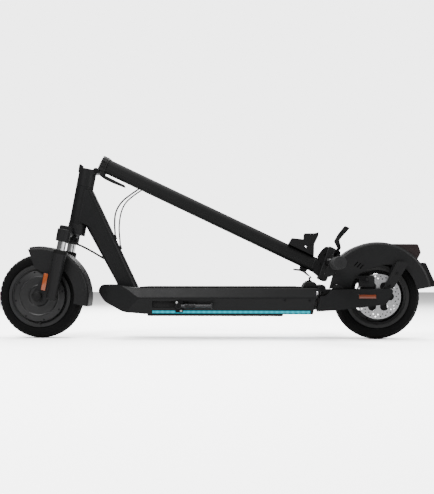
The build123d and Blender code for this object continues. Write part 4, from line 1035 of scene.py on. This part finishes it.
def makeCable(name, points, radius, keep=None, stands=()):
    # keep is a plane (point, direction): what lies behind it is cut off
    mesh = cableMesh(name, points, radius)
    if keep:
        bm = bmesh.new()
        bm.from_mesh(mesh)
        bmesh.ops.bisect_plane(bm, geom=bm.verts[:] + bm.edges[:] + bm.faces[:], dist=1e-6,
                               plane_co=keep[0] * millimetre, plane_no=keep[1], clear_inner=True)
        bmesh.ops.holes_fill(bm, edges=[edge for edge in bm.edges if edge.is_boundary], sides=0)
        bm.to_mesh(mesh)
        bm.free()
    piece = bpy.data.objects.new(name, mesh)
    bpy.context.scene.collection.objects.link(piece)
    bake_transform(piece)
    if stands:
        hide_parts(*stands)


def makeStemCable(name, route, radius, stands=()):
    # two pieces that meet in the middle of the loop, because it crosses two joints
    middle = (route[3] + route[4]) / 2
    along = (route[4] - route[3]).normalized()
    makeCable(name + "Low", route, radius, (middle, along),
              stands)
    makeCable(name + "High", route, radius, (middle, -along))


makeStemCable("outerCable", outerLoop, outerRadius, ["stem_cables"])
makeStemCable("innerCable", innerLoop, innerRadius)
makeCable("motorLead", motorRoute, motorRadius,
          stands=["motor_cable"])


def onTube(route, face):
    # where a route leaves the down tube's rear wall
    for first, second in zip(route, route[1:]):
        before = first.x - tubeRearFace(first.z, 0)
        after = second.x - tubeRearFace(second.z, 0)
        if before > face >= after:
            share = (before - face) / (before - after)
            return first.lerp(second, share), first
    return route[-1], route[-2]


# (thickness over the cable, along it)
grommet = [(0.1, -3), (3.2, -3), (3.2, 0.6), (2.4, 1.6), (1.2, 4), (0.9, 8), (0.1, 8.4)]


def makeGrommet(name, route, radius):
    # a tapered sleeve where the cable leaves the down tube
    bm = bmesh.new()
    spot, towards = onTube(route, 1.0)
    profile = [(radius + over, along) for over, along in grommet]
    addTurned(bm, profile, spot, 28, (towards - spot).normalized())
    finishPiece(bm, name, "frame", sealRubber)


makeGrommet("outerGrommet", outerLoop, outerRadius)
makeGrommet("innerGrommet", innerLoop, innerRadius)
print("cables laid")


# floor and background

studio = {"floor": 0.85, "seenFloor": 3.2, "sky": 0.16, "seenSky": 4.2, "size": 9}
white = (1, 1, 1, 1)


def makeFloor():
    # lifted where it is looked at directly, so the ground stays white behind dark paint
    paint = Paint("studioFloor", 0.8)
    direct = paint.node("LightPath", output="Is Camera Ray")
    cloud = paint.noise(3, 2) * 0.01
    shade = direct * (studio["seenFloor"] - studio["floor"]) + cloud + studio["floor"]
    paint.set({"Base Color": shade, "Specular IOR Level": 0.0})
    bm = bmesh.new()
    bmesh.ops.create_grid(bm, x_segments=1, y_segments=1, size=studio["size"])
    mesh = bpy.data.meshes.new("studioFloor")
    bm.to_mesh(mesh)
    bm.free()
    mesh.materials.append(paint.material)
    floor = bpy.data.objects.new("studioFloor", mesh)
    bpy.context.scene.collection.objects.link(floor)


def makeSky():
    # the backdrop that is seen, and the softer glow that lights the scooter
    world = bpy.data.worlds.new("studio")
    world.use_nodes = True
    board = Board(world.node_tree)
    board.tree.nodes.remove(board.tree.nodes["Background"])
    direct = board.node("LightPath", output="Is Camera Ray")
    glow = board.node("Background", {}, {"Color": white, "Strength": studio["sky"]})
    backdrop = board.node("Background", {}, {"Color": white, "Strength": studio["seenSky"]})
    sky = board.node("MixShader", {}, {0: direct, 1: glow, 2: backdrop})
    board.feed(board.tree.nodes["World Output"].inputs["Surface"], sky)
    bpy.context.scene.world = world


makeFloor()
makeSky()
print("studio set")
